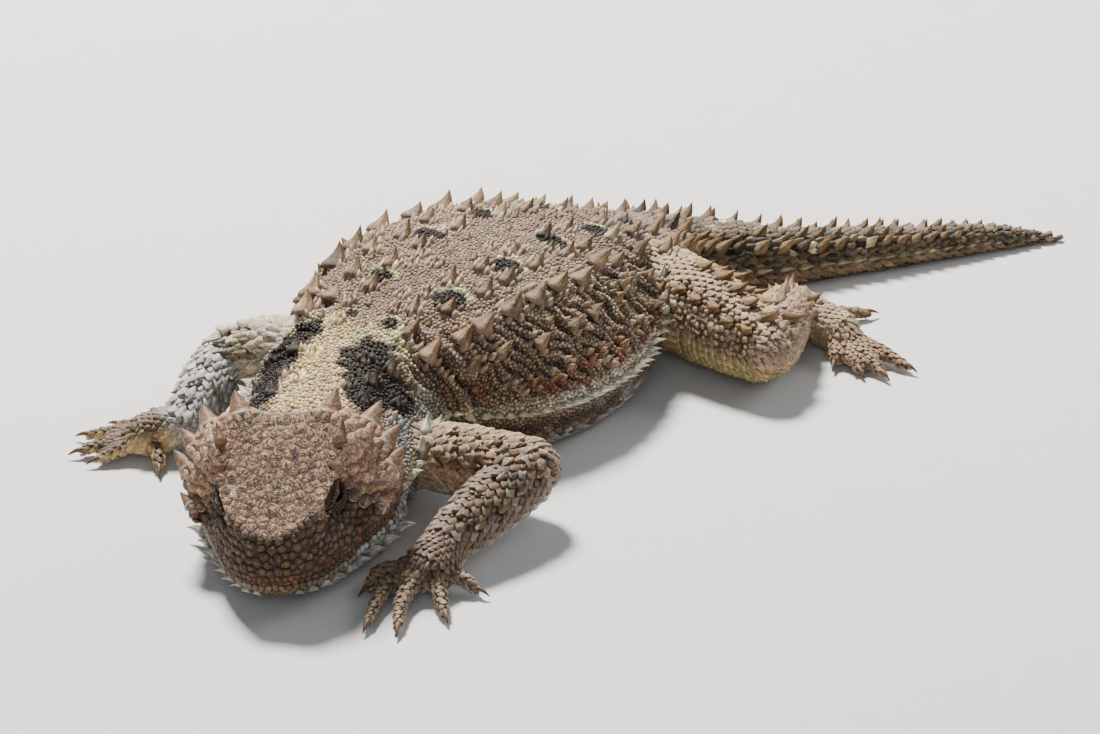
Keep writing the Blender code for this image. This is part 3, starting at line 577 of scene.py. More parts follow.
def toe_path(centre, knuckle, tip):
    """Middle line of a toe, its radii, and where its claw starts."""
    knuckle, tip = np.array((*knuckle, 1.35)), np.array((*tip, 0.35))
    ahead = unit((tip - knuckle) * np.array((1, 1, 0)))
    nail = tip - ahead * CLAW_LENGTH + np.array((0, 0, 0.35))
    start = centre * 0.72 + knuckle * 0.28
    path = open_curve([start, knuckle, nail, nail + ahead * 0.5], 5)
    joints = 1.0 + 0.06 * np.cos(np.linspace(0, 5 * math.pi, len(path)))
    return path, TOE_RADIUS * np.linspace(1.15, 0.58, len(path)) * joints, nail, tip, ahead


def horn_mounds():
    """The lower part of each horn, which the head's scales climb."""
    solids = []
    for name, root, tip, radius in horn_axes():
        way = tip - root
        shares = np.linspace(-0.1, HORN_START + 0.06, 6)
        girths = [horn_girth(radius, max(t, 0)) * 0.97 for t in shares]
        rings = [circle(root + way * t, way, g, 20) for t, g in zip(shares, girths)]
        solids.append(dome(name, rings, root - way * 0.2, root + way * (HORN_START + 0.16)))
    return solids


def limb_solids():
    solids = []
    for name, joints, bulges, toes in LEGS:
        for i in range(3):
            radii = (joints[i][1], joints[i + 1][1])
            rings, first, last = bone_rings(joints[i][0], joints[i + 1][0], radii, bulges[i])
            solids.append(dome(name, rings, first, last))
        for knuckle, tip in toes:
            path, radii = toe_path(np.array(joints[3][0]), knuckle, tip)[:2]
            rings = []
            for i in range(1, len(path) - 1):
                rings.append(circle(path[i], path[i + 1] - path[i - 1], radii[i], 14))
            solids.append(dome(name + "_toe", rings, path[0], path[-1]))
    return solids


def soften(points, edges, weight, rounds):
    count = len(points)
    share = np.bincount(edges.ravel(), minlength=count)
    for _ in range(rounds):
        total = np.empty_like(points)
        for k in range(3):
            total[:, k] = np.bincount(edges[:, 0], points[edges[:, 1], k], count)
            total[:, k] += np.bincount(edges[:, 1], points[edges[:, 0], k], count)
        points = points + weight[:, None] * (total / share[:, None] - points)
    return points


def in_head(points):
    """1 on the head, 0 past the nape."""
    local = into_head(points)
    width = np.interp(local[:, 1], (-10.8, -9.8, -6.7, -2.4, 2.4, 6.6), (1.6, 3.4, 6.0, 8.2, 10.9, 11.0))
    beside = (np.abs(local[:, 0]) < width + 1.9) & (local[:, 2] > -4.6) & (local[:, 1] > -12.5)
    return ramp(local[:, 1], HEAD_BACK + 1.2, HEAD_BACK - 0.6) * beside


class LimbPlace:
    """For points: the nearest limb bone, how far along it, and how far from its surface."""

    def __init__(self, points):
        count = len(points)
        self.gap = np.full(count, 1e3)
        self.limb = np.zeros(count, int)
        self.bone = np.zeros(count, int)
        self.t = np.zeros(count)
        self.axis = np.zeros((count, 3))
        for index, (name, joints, bulges, toes) in enumerate(LEGS):
            bones = [(joints[i][0], joints[i + 1][0], joints[i][1], joints[i + 1][1]) for i in range(3)]
            palm = np.array(joints[3][0])
            for knuckle, tip in toes:
                nail = np.array((*tip, 0.5))
                bones.append((palm, (*knuckle, 1.35), 1.1, 0.95))
                bones.append(((*knuckle, 1.35), nail, 0.95, 0.6))
            for bone, (start, end, r0, r1) in enumerate(bones):
                start, end = np.array(start), np.array(end)
                way = end - start
                t = np.clip((points - start) @ way / (way @ way), 0, 1)
                size = r0 + (r1 - r0) * t + (bulges[bone] * np.sin(math.pi * t) if bone < 3 else 0)
                gap = np.linalg.norm(points - start - t[:, None] * way, axis=1) - size
                near = gap < self.gap
                self.gap[near] = gap[near]
                self.limb[near] = index
                self.bone[near] = min(bone, 3)
                self.t[near] = t[near]
                self.axis[near] = unit(way)


def in_toes(points, limbs):
    """1 on the toes, which pass close by the jaw."""
    return ramp(limbs.gap, 0.5, 0.15) * (limbs.bone == 3) * ramp(points[:, 2], 2.7, 2.3)


def fold_height(points, place):
    """Wrinkles of the neck, shoulder and flank, in millimetres."""
    aside = np.abs(place.across) / place.half
    flank = ramp(place.up, 0.02, 0.2) * ramp(place.up, 1.12, 0.8) * ramp(aside, 0.45, 0.6)
    flank *= ramp(place.along, -19, -14) * ramp(place.along, 24, 19)
    lean = 2.5 + 5.5 * ramp(place.along, -16, -6)
    wave = place.along + lean * place.up + 0.6 * drift(points, 4.6, 21)
    height = (0.36 + 0.14 * drift(points, 5.0, 25)) * flank * np.cos(2 * math.pi * wave / 1.85)
    shoulder = ramp(place.along, -25.5, -21) * ramp(place.along, -12.5, -16) * ramp(aside, 0.3, 0.5)
    shoulder *= ramp(place.up, -0.3, 0.1)
    wave = place.along + 1.5 * place.up + 0.7 * drift(points, 6.0, 22)
    height += 0.46 * shoulder * np.cos(2 * math.pi * wave / 1.9)
    nape = ramp(place.along, -21, -25) * ramp(aside, 0.7, 0.45)
    wave = place.along + 0.8 * drift(points, 4.0, 23)
    height += 0.13 * nape * np.cos(2 * math.pi * wave / 1.35)
    back = ramp(place.up, 0.8, 1.05) * ramp(place.along, -22, -18) * ramp(place.along, 26, 22)
    height += 0.10 * back * drift(points, 2.4, 24)
    tail = ramp(place.along, 25, 30) * ramp(place.up, -0.3, 0.0)
    height += 0.12 * tail * np.cos(2 * math.pi * tail_rings(place.along))
    return height


def carve_head(points):
    """Open the mouth line, the nostrils and the eye sockets in the skin."""
    local = into_head(points)
    near = np.where((local[:, 1] < 6.0) & (np.abs(local[:, 0]) < 12.5) & (local[:, 2] > -5.0))[0]
    spots = local[near]
    lip = head_ring(LIP_RING, detail=16)
    tree = KDTree(len(lip))
    for i, p in enumerate(lip):
        tree.insert(p, i)
    tree.balance()
    reach = np.array([tree.find(p)[2] for p in spots])
    inward = unit(np.array((0.0, -1.0, 0.0)) - spots * np.array((1, 1, 0)))
    spots = spots + inward * (0.45 * ramp(reach, 0.5, 0.05))[:, None]
    for side in SIDES:
        pit = np.array((side * NOSTRIL_PLACE[0], NOSTRIL_PLACE[1], NOSTRIL_PLACE[2]))
        depth = 0.55 * ramp(np.linalg.norm(spots - pit, axis=1), 0.55, 0.15)
        spots = spots + np.array((-side * 0.2, 0.95, -0.1)) * depth[:, None]
        eye = np.array((side * EYE_PLACE[0], EYE_PLACE[1], EYE_PLACE[2]))
        away = spots - eye
        far = np.linalg.norm(away, axis=1)
        room = EYE_RADIUS + 0.2
        inside = (far < room) | ((far < room + 0.35) & (away[:, 0] * side > 0.5))
        way = np.array((-side * 0.92, 0.1, -0.3))
        along = away @ unit(way)
        aside = away - along[:, None] * unit(way)
        depth = np.sqrt(np.maximum(room ** 2 - (aside ** 2).sum(1), 0.0))
        spots[inside] = (eye + aside + depth[:, None] * unit(way))[inside]
    local[near] = spots
    return from_head(local)


SKIN_DEPTH = 0.16


def make_skin(voxel):
    solids = [trunk_solid(), head_solid()] + horn_mounds() + limb_solids()
    for item in solids:
        outward(item)
    skin = join(solids, "skin")
    apply_modifier(skin, "REMESH", mode="VOXEL", voxel_size=voxel)
    mesh = skin.data
    points = points_of(mesh)
    edges = np.empty(len(mesh.edges) * 2, np.int32)
    mesh.edges.foreach_get("vertices", edges)
    edges = edges.reshape(-1, 2)
    limbs = LimbPlace(points)
    head = in_head(points)
    weight = 0.5 * np.where(head > 0.5, 0.35, 1.0) * ramp(limbs.gap, -0.6, 0.4) + 0.12
    points = soften(points, edges, np.minimum(weight, 0.6), 10)
    put_points(mesh, points)
    place = BodyPlace(points)
    trunk = (1 - head) * ramp(limbs.gap, 0.1, 0.9)
    height = fold_height(points, place) * trunk - SKIN_DEPTH
    points = points + vertex_normals(mesh) * height[:, None]
    points = carve_head(points)
    points[:, 2] = np.maximum(points[:, 2], 0.12)
    put_points(mesh, points)
    mesh.shade_smooth()
    return skin


# Markings, with painted light and shade

# Dark patches: x, y, half length along the body, half width across it
BLOTCHES = (
    (4.8, -21.0, 3.6, 2.9), (7.6, -23.6, 3.8, 2.5), (-4.0, -21.6, 2.5, 1.9), (-5.4, -24.2, 3.0, 1.9),
    (9.6, -25.4, 3.4, 2.3), (9.8, -22.0, 2.6, 2.2), (-2.3, -27.8, 4.2, 2.4), (1.3, -32.6, 2.9, 1.7),
    (2.8, -15.6, 0.9, 0.8), (-2.0, -17.0, 0.9, 0.8), (5.2, -9.0, 1.6, 1.7), (-4.4, -10.6, 1.5, 1.7),
    (5.0, -0.5, 1.5, 1.9), (-6.4, -1.0, 1.5, 1.9), (4.4, 7.4, 1.5, 1.8), (-6.0, 7.0, 1.5, 1.8),
    (3.4, 15.0, 1.4, 1.5), (-4.8, 14.6, 1.4, 1.5), (2.2, 22.4, 1.3, 1.3), (-4.0, 22.2, 1.3, 1.3),
    (0.9, 29.5, 1.2, 1.1), (-3.6, 29.8, 1.2, 1.1), (4.2, 36.6, 1.1, 0.9), (-0.4, 38.6, 1.1, 0.8),
    (8.6, 43.6, 1.1, 0.7), (5.0, 46.0, 1.1, 0.7), (12.0, 50.2, 1.0, 0.6), (9.2, 52.4, 1.0, 0.6),
)


def palette():
    settings = bpy.context.scene.horned_lizard
    colours = {key: linear(value) for key, value in COLOURS.items()}
    for key in ("back", "blotch_and_shade", "stripe", "fringe", "crown", "horn"):
        colours[key] = np.array(getattr(settings, key + "_colour"))
    return colours


def blotch_shares(points, place):
    """How far each point lies in a dark patch, and in the pale edge behind one."""
    dark = np.zeros(len(points))
    pale = np.zeros(len(points))
    upper = ramp(place.up + 0.28 * ramp(place.along, -16, -20), 0.35, 0.7)
    wobble = 0.16 * drift(points, 1.6, 31)
    for x, y, length, width in BLOTCHES:
        back, across = heading(y)
        offset = points - np.array((x, y, 0.0))
        u, v = offset @ back / length, offset @ across / width
        far = np.sqrt(u * u + v * v) + wobble
        dark = np.maximum(dark, ramp(far, 1.12, 0.82))
        if y > -21.8:
            rim = ramp(far, 1.0, 1.12) * ramp(far, 1.55, 1.3) * ramp(u, 0.1, 0.55)
            pale = np.maximum(pale, rim)
    return dark * upper, pale * upper


def body_colours(points, normals, tones):
    place = BodyPlace(points)
    coarse, fine = drift(points, 7.0, 41), drift(points, 1.8, 42)
    dark, pale = blotch_shares(points, place)
    colour = mix(tones["back"], tones["back_rose"], 0.5 + 0.45 * coarse)
    colour = mix(colour, tones["flank_pale"], 0.25 + 0.25 * fine)
    aside = np.abs(place.across) / place.half
    flank = ramp(place.up, 0.98, 0.72) * ramp(aside, 0.4, 0.62)
    side = mix(tones["flank"], tones["flank_pale"], 0.28 + 0.3 * fine + 0.15 * coarse)
    rust = ramp(place.up, 0.5, 0.3) * ramp(place.up, 0.06, 0.16) * ramp(drift(points, 4.2, 43), -0.3, 0.5)
    side = mix(side, tones["rust"], 0.75 * rust)
    colour = mix(colour, side, flank)
    # Painted shade in the valleys of the skin's folds and painted light on their crests
    folds = fold_height(points, place)
    colour = colour * (1 - 0.6 * ramp(folds, 0.02, -0.3) + 0.3 * ramp(folds, 0.1, 0.4))[:, None]
    colour = colour * (1 - 0.28 * ramp(place.along, 4, 18))[:, None]
    tail = ramp(place.along, 24, 34)
    rings = 0.5 + 0.5 * np.sin(2 * math.pi * (place.along + 0.7 * coarse) / 7.0)
    tail_bands_and_trough_shade = mix(tones["tail"], tones["flank"], 0.45 * ramp(rings, 0.55, 0.9))
    tail_bands_and_trough_shade = mix(tail_bands_and_trough_shade, tones["stripe"], 0.25 * ramp(fine, 0.0, 1.0))
    # Painted shade in the troughs between the tail's rings and painted light on their crests, a little lighter
    # towards the top
    crest = 0.5 + 0.5 * np.cos(2 * math.pi * tail_rings(place.along))
    tail_bands_and_trough_shade = tail_bands_and_trough_shade * (0.56 + 0.54 * crest + 0.14 * ramp(place.up, 0.5, 1.0))[:, None]
    colour = mix(colour, tail_bands_and_trough_shade, tail)
    neck = ramp(place.along, -18.5, -22.5)
    stripe = ramp(np.abs(place.across + 0.1), 4.9, 3.2) * ramp(place.along, -14.5, -20.5)
    beads = mix(tones["neck_bead"], tones["stripe"], 0.25 + 0.3 * coarse)
    colour = mix(colour, mix(beads, tones["flank"], ramp(place.up, 0.55, 0.85)), neck)
    colour = mix(colour, tones["stripe"] * (1 + 0.16 * fine)[:, None], stripe)
    colour = mix(colour, tones["crescent"], 0.9 * pale)
    colour = mix(colour, tones["blotch_and_shade"], 0.96 * dark)
    below = ramp(place.up, -0.02, -0.2)
    level = points[:, 2] / place.edge
    under = mix(tones["under_fringe"], tones["lip_rust"], 0.35 * ramp(fine + coarse, 0.3, 1.2))
    under = mix(under, tones["neck_bead"], 0.7 * ramp(drift(points, 2.8, 45), 0.2, 0.9))
    under = mix(under, tones["belly"], ramp(level + 0.2 * fine, 0.5, 0.1))
    under = mix(under, tones["flank"], 0.5 * ramp(drift(points, 2.2, 44), 0.5, 1.0))
    # Below the fringe the colour is multiplied by 0.82 as painted shade under the fringe's overhang
    colour = mix(colour, under * 0.82, below * (1 - tail))
    colour = mix(colour, tones["chin_ochre"], 0.5 * below * tail)
    band = ramp(np.abs(place.up - 0.08), 0.08, 0.03) * ramp(place.along, -18.0, -16.5)
    band *= ramp(place.along, 22.0, 19.5) * ramp(aside, 0.8, 0.95)
    ivory = mix(tones["fringe"], tones["fringe_green"], ramp(place.along, -5.0, -14.0) * 0.7)
    return mix(colour, ivory, (0.45 + 0.3 * fine) * band)


def lip_level(local):
    return np.interp(local[:, 1], (-10.8, -9.8, -6.7, -2.4, 2.4, 6.6), (3.4, 3.1, 2.4, 1.8, 1.4, 1.5))


def brow_level(local):
    return np.interp(local[:, 1], (-8.7, -5.3, -0.4, 3.1, 5.3), (8.7, 9.6, 11.6, 12.6, 12.8))


def brow_half(local):
    """Half width of the crown at each point's y."""
    places = (-8.9, -8.5, -8.0, -6.6, -5.3, -2.5, -0.4, 3.1, 5.3)
    return np.interp(local[:, 1], places, (-0.6, 1.1, 2.0, 3.7, 5.0, 6.25, 6.6, 6.6, 5.0))


def face_height(local):
    """0 at the line of the mouth, 1 at the brow."""
    low = lip_level(local)
    return (local[:, 2] - low) / (brow_level(local) - low)


def on_crown(local):
    inside = ramp(brow_half(local) - np.abs(local[:, 0]), -0.25, 0.05)
    return inside * ramp(face_height(local), 0.66, 0.8)


def head_colours(points, normals, tones):
    local = into_head(points)
    rise = face_height(local)
    coarse, fine = drift(points, 4.5, 51), drift(points, 1.3, 52)
    snout = mix(tones["snout"], tones["lip_blue"], 0.05 + 0.14 * fine)
    lip = ramp(rise, 0.42, 0.1) * ramp(drift(points, 2.6, 53), -0.5, 0.6)
    snout = mix(snout, tones["lip_rust"], 0.42 * lip)
    temple = mix(tones["temple"], tones["crown"], 0.35 + 0.25 * fine)
    # Behind the eye the temple colour, lightened with painted light, holds above; the darker snout colour below it
    # is painted shade on the cheek
    colour = mix(snout, temple, ramp(local[:, 1], -2.2, 0.6) * ramp(rise, 0.22, 0.5))
    eye = np.array((EYE_PLACE[0], EYE_PLACE[1], EYE_PLACE[2]))
    folded = local * np.array((1, 1, 1))
    folded[:, 0] = np.abs(folded[:, 0])
    # Painted shade round the eye, under the brow, in the dark patches' colour
    shade = ramp(np.linalg.norm(folded - eye, axis=1), 3.6, 2.3)
    colour = mix(colour, tones["blotch_and_shade"], 0.62 * shade)
    ember = ramp(np.linalg.norm(folded - np.array((6.6, 0.2, 7.6)), axis=1), 1.1, 0.4)
    colour = mix(colour, tones["lip_rust"], 0.75 * ember)
    crown = mix(tones["crown"], tones["crown_rose"], 0.35 + 0.3 * coarse + 0.15 * fine)
    rim = ramp(brow_half(local) - np.abs(local[:, 0]), 1.3, 0.2)
    crown = mix(crown, tones["crown_rose"], 0.6 * rim)
    pineal = ramp(np.linalg.norm(local - np.array((0, 2.2, 12.2)), axis=1), 0.5, 0.2)
    crown = mix(crown, tones["fringe"], 0.8 * pineal)
    colour = mix(colour, crown, on_crown(local))
    below = ramp(rise, -0.01, -0.05)
    front = ramp(local[:, 1], -3.0, -8.0)
    jaw = mix(tones["chin"], tones["chin_ochre"], front * 0.8)
    jaw = mix(jaw, tones["snout"], 0.4 + 0.4 * fine)
    jaw = mix(jaw, tones["belly"], ramp(rise, -0.3, -0.5))
    return mix(colour, jaw, below)


def limb_colours(points, normals, tones, limbs):
    coarse, fine = drift(points, 4.0, 61), drift(points, 1.2, 62)
    bone, t = limbs.bone, limbs.t
    left_arm = mix(tones["arm"], tones["forearm"], ramp(bone + t, 0.8, 1.2))
    left_arm = mix(left_arm, tones["neck_bead"], 0.22 * ramp(fine, 0.1, 1.0))
    # Painted light on the left upper arm where its surface turns from the top toward the sides
    front = ramp(normals[:, 2], 0.7, 0.0) * ramp(bone + t, 1.1, 0.8)
    left_arm = left_arm * (1 + 0.5 * front)[:, None]
    pale = mix(tones["stripe"], tones["neck_bead"], 0.6 + 0.2 * fine) * 0.9
    right_arm = mix(pale, tones["arm_blue"], ramp(bone + t, 0.7, 1.2) * ramp(bone, 3, 1.4))
    hand = mix(tones["forearm"], tones["toe_cream"], ramp(normals[:, 2], 0.75, 0.1))
    right_arm = mix(right_arm, hand, ramp(bone + t, 2.0, 2.6))
    left_arm = mix(left_arm, tones["leg"], 0.45 * ramp(bone, 2.2, 3.0))
    leg = mix(tones["leg"], tones["back_rose"], 0.3 + 0.3 * coarse)
    leg = mix(leg, tones["flank"], 0.45 * ramp(coarse + fine, 0.5, 1.4))
    leg = mix(leg, tones["leg_under"], 0.7 * ramp(normals[:, 2], 0.05, -0.35) * ramp(bone, 2, 0.9))
    leg = mix(leg, tones["toe_ochre"], 0.6 * ramp(bone, 2.2, 3.0))
    under = ramp(normals[:, 2], -0.3, -0.7)
    left_arm = mix(left_arm, tones["belly"], 0.6 * under)
    right_arm = mix(right_arm, tones["belly"], 0.5 * under)
    colour = np.where((limbs.limb == 0)[:, None], left_arm, leg)
    return np.where((limbs.limb == 1)[:, None], right_arm, colour)


def markings(points, normals):
    """The animal's colour at each point, with painted light and shade mixed in, the same for the skin and its
    scales.
    """
    tones = palette()
    limbs = LimbPlace(points)
    head = in_head(points) * (1 - in_toes(points, limbs))
    colour = body_colours(points, normals, tones)
    colour = mix(colour, head_colours(points, normals, tones), head)
    on_limb = ramp(limbs.gap, 1.1, 0.25) * (1 - head)
    return mix(colour, limb_colours(points, normals, tones, limbs), on_limb)


# Where the scales sit

class Coat:
    """The skin's surface, and the scales and spines that have been set on it."""

    def __init__(self, skin):
        self.random = np.random.default_rng(SEED)
        mesh = skin.data
        self.points = points_of(mesh)
        self.normals = vertex_normals(mesh)
        mesh.calc_loop_triangles()
        corners = np.empty(len(mesh.loop_triangles) * 3, np.int32)
        mesh.loop_triangles.foreach_get("vertices", corners)
        self.corners = corners.reshape(-1, 3)
        self.tree = BVHTree.FromPolygons(self.points.tolist(), self.corners.tolist())
        self.cells = {}
        self.cell = 1.6
        self.groups = {}
        self.unwrap(skin)

    def unwrap(self, skin):
        """A coarse copy of the skin's shape, unwrapped, gives each scale its place."""
        guide = skin.copy()
        guide.data = skin.data.copy()
        bpy.context.scene.collection.objects.link(guide)
        apply_modifier(guide, "REMESH", mode="VOXEL", voxel_size=0.0013)
        bpy.ops.object.mode_set(mode="EDIT")
        bpy.ops.mesh.select_all(action="SELECT")
        bpy.ops.mesh.quads_convert_to_tris()
        bpy.ops.uv.smart_project(angle_limit=1.15, island_margin=0.004, scale_to_bounds=True)
        bpy.ops.object.mode_set(mode="OBJECT")
        mesh = guide.data
        self.map_points = points_of(mesh)
        faces = np.empty(len(mesh.loops), np.int32)
        mesh.loops.foreach_get("vertex_index", faces)
        self.map_faces = faces.reshape(-1, 3)
        uv = np.empty(len(mesh.loops) * 2, np.float32)
        mesh.uv_layers.active.uv.foreach_get("vector", uv)
        self.map_uv = uv.reshape(-1, 3, 2)
        self.map_tree = BVHTree.FromPolygons(self.map_points.tolist(), self.map_faces.tolist())
        bpy.data.objects.remove(guide, do_unlink=True)

    def map_places(self, points):
        """Place of each point on the unwrap."""
        spots, index = [], []
        for p in points:
            spot, _, face, _ = self.map_tree.find_nearest(p)
            spots.append(spot)
            index.append(face)
        index = np.array(index)
        corners = self.map_points[self.map_faces[index]]
        edge1, edge2 = corners[:, 1] - corners[:, 0], corners[:, 2] - corners[:, 0]
        offset = np.array(spots) - corners[:, 0]
        d11, d12, d22 = (edge1 ** 2).sum(1), (edge1 * edge2).sum(1), (edge2 ** 2).sum(1)
        d1, d2 = (offset * edge1).sum(1), (offset * edge2).sum(1)
        bottom = np.maximum(d11 * d22 - d12 ** 2, 1e-12)
        v, w = (d22 * d1 - d12 * d2) / bottom, (d11 * d2 - d12 * d1) / bottom
        uv = self.map_uv[index]
        return uv[:, 0] * (1 - v - w)[:, None] + uv[:, 1] * v[:, None] + uv[:, 2] * w[:, None]

    def settle(self, points):
        """The nearest places on the skin, with the way out of it at each."""
        spots, faces = [], []
        for p in points:
            spot, _, face, _ = self.tree.find_nearest(p)
            spots.append(spot)
            faces.append(face)
        spots = np.array(spots)
        return spots, self.normals_at(spots, np.array(faces, int))

    def key(self, p):
        return (int(p[0] // self.cell), int(p[1] // self.cell), int(p[2] // self.cell))

    def take(self, p, radius):
        self.cells.setdefault(self.key(p), []).append((p[0], p[1], p[2], radius))

    def free(self, p, radius):
        a, b, c = self.key(p)
        x, y, z = p
        for i in (a - 1, a, a + 1):
            for j in (b - 1, b, b + 1):
                for k in (c - 1, c, c + 1):
                    for u, v, w, other in self.cells.get((i, j, k), ()):
                        far = (x - u) ** 2 + (y - v) ** 2 + (z - w) ** 2
                        if far < (radius + other) ** 2:
                            return False
        return True

    def add(self, group, points, normals, ways, radii, loose=0.86):
        """Set the scales that have room. A radius is half the way to a like neighbour."""
        kept = []
        for i, (p, radius) in enumerate(zip(points.tolist(), radii.tolist())):
            if self.free(p, radius * loose):
                self.take(p, radius * loose)
                kept.append(i)
        kept = np.array(kept, int)
        rows = (points[kept], normals[kept], ways[kept], radii[kept])
        if group in self.groups:
            rows = tuple(np.concatenate(pair) for pair in zip(self.groups[group], rows))
        self.groups[group] = rows
        return len(kept)

    def middles(self):
        return self.points[self.corners].mean(1)

    def scatter(self, group, spacing, lie, tries=9.0):
        """Fill the part of the skin that has the group's name."""
        chosen = np.where(self.labels == group)[0]
        middle = self.middles()[chosen]
        chosen = chosen[open_ground(middle)]
        a, b, c = (self.points[self.corners[chosen, k]] for k in range(3))
        area = 0.5 * np.linalg.norm(np.cross(b - a, c - a), axis=1)
        density = tries * area / spacing((a + b + c) / 3.0) ** 2
        picked = self.random.choice(chosen, int(density.sum()), p=density / density.sum())
        u, v = self.random.random(len(picked)), self.random.random(len(picked))
        over = u + v > 1
        u[over], v[over] = 1 - u[over], 1 - v[over]
        weights = np.stack((1 - u - v, u, v), 1)[:, :, None]
        points = (self.points[self.corners[picked]] * weights).sum(1)
        normals = unit((self.normals[self.corners[picked]] * weights).sum(1))
        keep = open_ground(points)
        points, normals = points[keep], normals[keep]
        self.add(group, points, normals, lie(points, normals), 0.5 * spacing(points), loose=0.92)

    def normals_at(self, spots, faces):
        corners = self.corners[faces]
        weight = 1.0 / (np.linalg.norm(self.points[corners] - spots[:, None], axis=2) + 0.02)
        return unit((self.normals[corners] * weight[:, :, None]).sum(1))

    def rays(self, origins, ways, limits):
        """Where rays from inside leave the skin, with the way out there; misses are dropped."""
        spots, faces = [], []
        for origin, way, limit in zip(origins.tolist(), ways.tolist(), limits.tolist()):
            spot, _, face, _ = self.tree.ray_cast(origin, way, limit)
            if spot is not None:
                spots.append(spot)
                faces.append(face)
        spots = np.array(spots).reshape(-1, 3)
        return spots, self.normals_at(spots, np.array(faces, int))


def lie_along(ways, normals):
    ways = np.broadcast_to(ways, normals.shape)
    return unit(ways - normals * (ways * normals).sum(1)[:, None])


def trunk_lie(points, normals):
    return lie_along(BodyPlace(points).back, normals)


def head_lie(points, normals):
    return lie_along(turn_from_head(np.array((0.0, 1.0, 0.0))), normals)


def limb_lie(points, normals):
    return lie_along(LimbPlace(points).axis, normals)


HORN_START = 0.42


def horn_girth(radius, t):
    return radius * (1 - t) ** 0.8


def horn_axes():
    """Root, tip and radius of every horn in the model's frame."""
    rows = []
    for name, root, tip, radius in HORNS:
        for side, label in ((1, "left"), (-1, "right")):
            ends = from_head(np.array((root, tip)) * np.array((side, 1, 1)))
            rows.append((name + "_" + label, ends[0], ends[1], radius))
    return rows


def open_ground(points):
    """True where a scale may sit: clear of horns, eyes, nostrils, mouth and floor."""
    local = into_head(points)
    folded = np.abs(local[:, 0])[:, None] * np.array((1.0, 0, 0)) + local * np.array((0, 1.0, 1.0))
    clear = np.linalg.norm(folded - np.array(EYE_PLACE), axis=1) > EYE_RADIUS + 0.42
    clear &= np.linalg.norm(folded - np.array(NOSTRIL_PLACE), axis=1) > 0.5
    for _, root, tip, radius in horn_axes():
        way = tip - root
        t = np.clip((points - root) @ way / (way @ way), 0, 1)
        gap = np.linalg.norm(points - root - t[:, None] * way, axis=1)
        clear &= (gap > 1.1 * horn_girth(radius, t)) | (t < HORN_START - 0.06)
    lip = head_ring(LIP_RING, detail=12)
    near = np.where((np.abs(face_height(local)) < 0.12) & (local[:, 1] < HEAD_BACK))[0]
    if len(near):
        far = np.linalg.norm(local[near, None] - lip[None], axis=2).min(1)
        clear[near] &= far > 0.2
    return clear & (points[:, 2] > 0.15)


def labels_of(points):
    """The part of the animal that each point belongs to."""
    place = BodyPlace(points)
    limbs = LimbPlace(points)
    local = into_head(points)
    head = in_head(points) * (1 - in_toes(points, limbs)) > 0.5
    aside = np.abs(place.across) / place.half
    name = np.full(len(points), "flank", dtype="<U8")
    name[(place.up > 0.86) | (aside < 0.4)] = "back"
    name[place.along < -18.0] = "neck"
    name[(points[:, 2] < 0.5 * place.edge) & (place.along < 25)] = "belly"
    name[place.along > 25.0] = "tail"
    name[(limbs.gap < 0.45) & ~head] = "limb"
    name[(limbs.gap < 0.45) & ~head & (limbs.bone == 3)] = "toe"
    rise = face_height(local)
    name[head] = "snout"
    name[head & (local[:, 1] > -1.4) & (rise > 0.16)] = "temple"
    name[head & (on_crown(local) > 0.5) & (local[:, 1] > -8.3)] = "crown"
    name[head & (rise < 0)] = "jaw"
    return name


def rings_round(coat, group, start, end, radii, bulge, spacing, ahead=None):
    """Rows of scales round a bone, each row half a scale on from the last."""
    start, end = np.array(start, float), np.array(end, float)
    axis, side, up = frame_along(end - start)
    length = np.linalg.norm(end - start)
    rows = max(2, round(length / (0.84 * spacing)))
    origins, ways, limits = [], [], []
    for row, t in enumerate(np.linspace(0.02, 0.98, rows + 1)):
        size = radii[0] + (radii[1] - radii[0]) * t + bulge * math.sin(math.pi * t)
        count = max(6, round(2 * math.pi * size / spacing))
        for k in range(count):
            turn = (k + 0.5 * (row % 2)) * 2 * math.pi / count
            origins.append(start + (end - start) * t)
            ways.append(math.cos(turn) * side + math.sin(turn) * up)
            limits.append(1.45 * size + 0.25)
    spots, normals = coat.rays(np.array(origins), np.array(ways), np.array(limits))
    keep = open_ground(spots) & np.isin(labels_of(spots), ("limb", "toe"))
    spots, normals = spots[keep], normals[keep]
    lie = lie_along(axis if ahead is None else ahead, normals)
    coat.add(group, spots, normals, lie, np.full(len(spots), 0.5 * spacing), loose=0.8)


def limb_rows(coat):
    for name, joints, bulges, toes in LEGS:
        spacings = (1.16, 1.06, 0.76) if name.startswith("arm") else (0.94, 0.92, 0.72)
        palm = np.array(joints[3][0])
        for knuckle, tip in toes:
            path, radii, nail, _, _ = toe_path(palm, knuckle, tip)
            for i in range(3, 14, 5):
                last = min(i + 5, len(path) - 3)
                if last > i:
                    rings_round(coat, "toe", path[i], path[last], (radii[i], radii[last]), 0, 0.62)
        for i in range(3):
            ends = (joints[i][1], joints[i + 1][1])
            rings_round(coat, "limb", joints[i][0], joints[i + 1][0], ends, bulges[i], spacings[i])


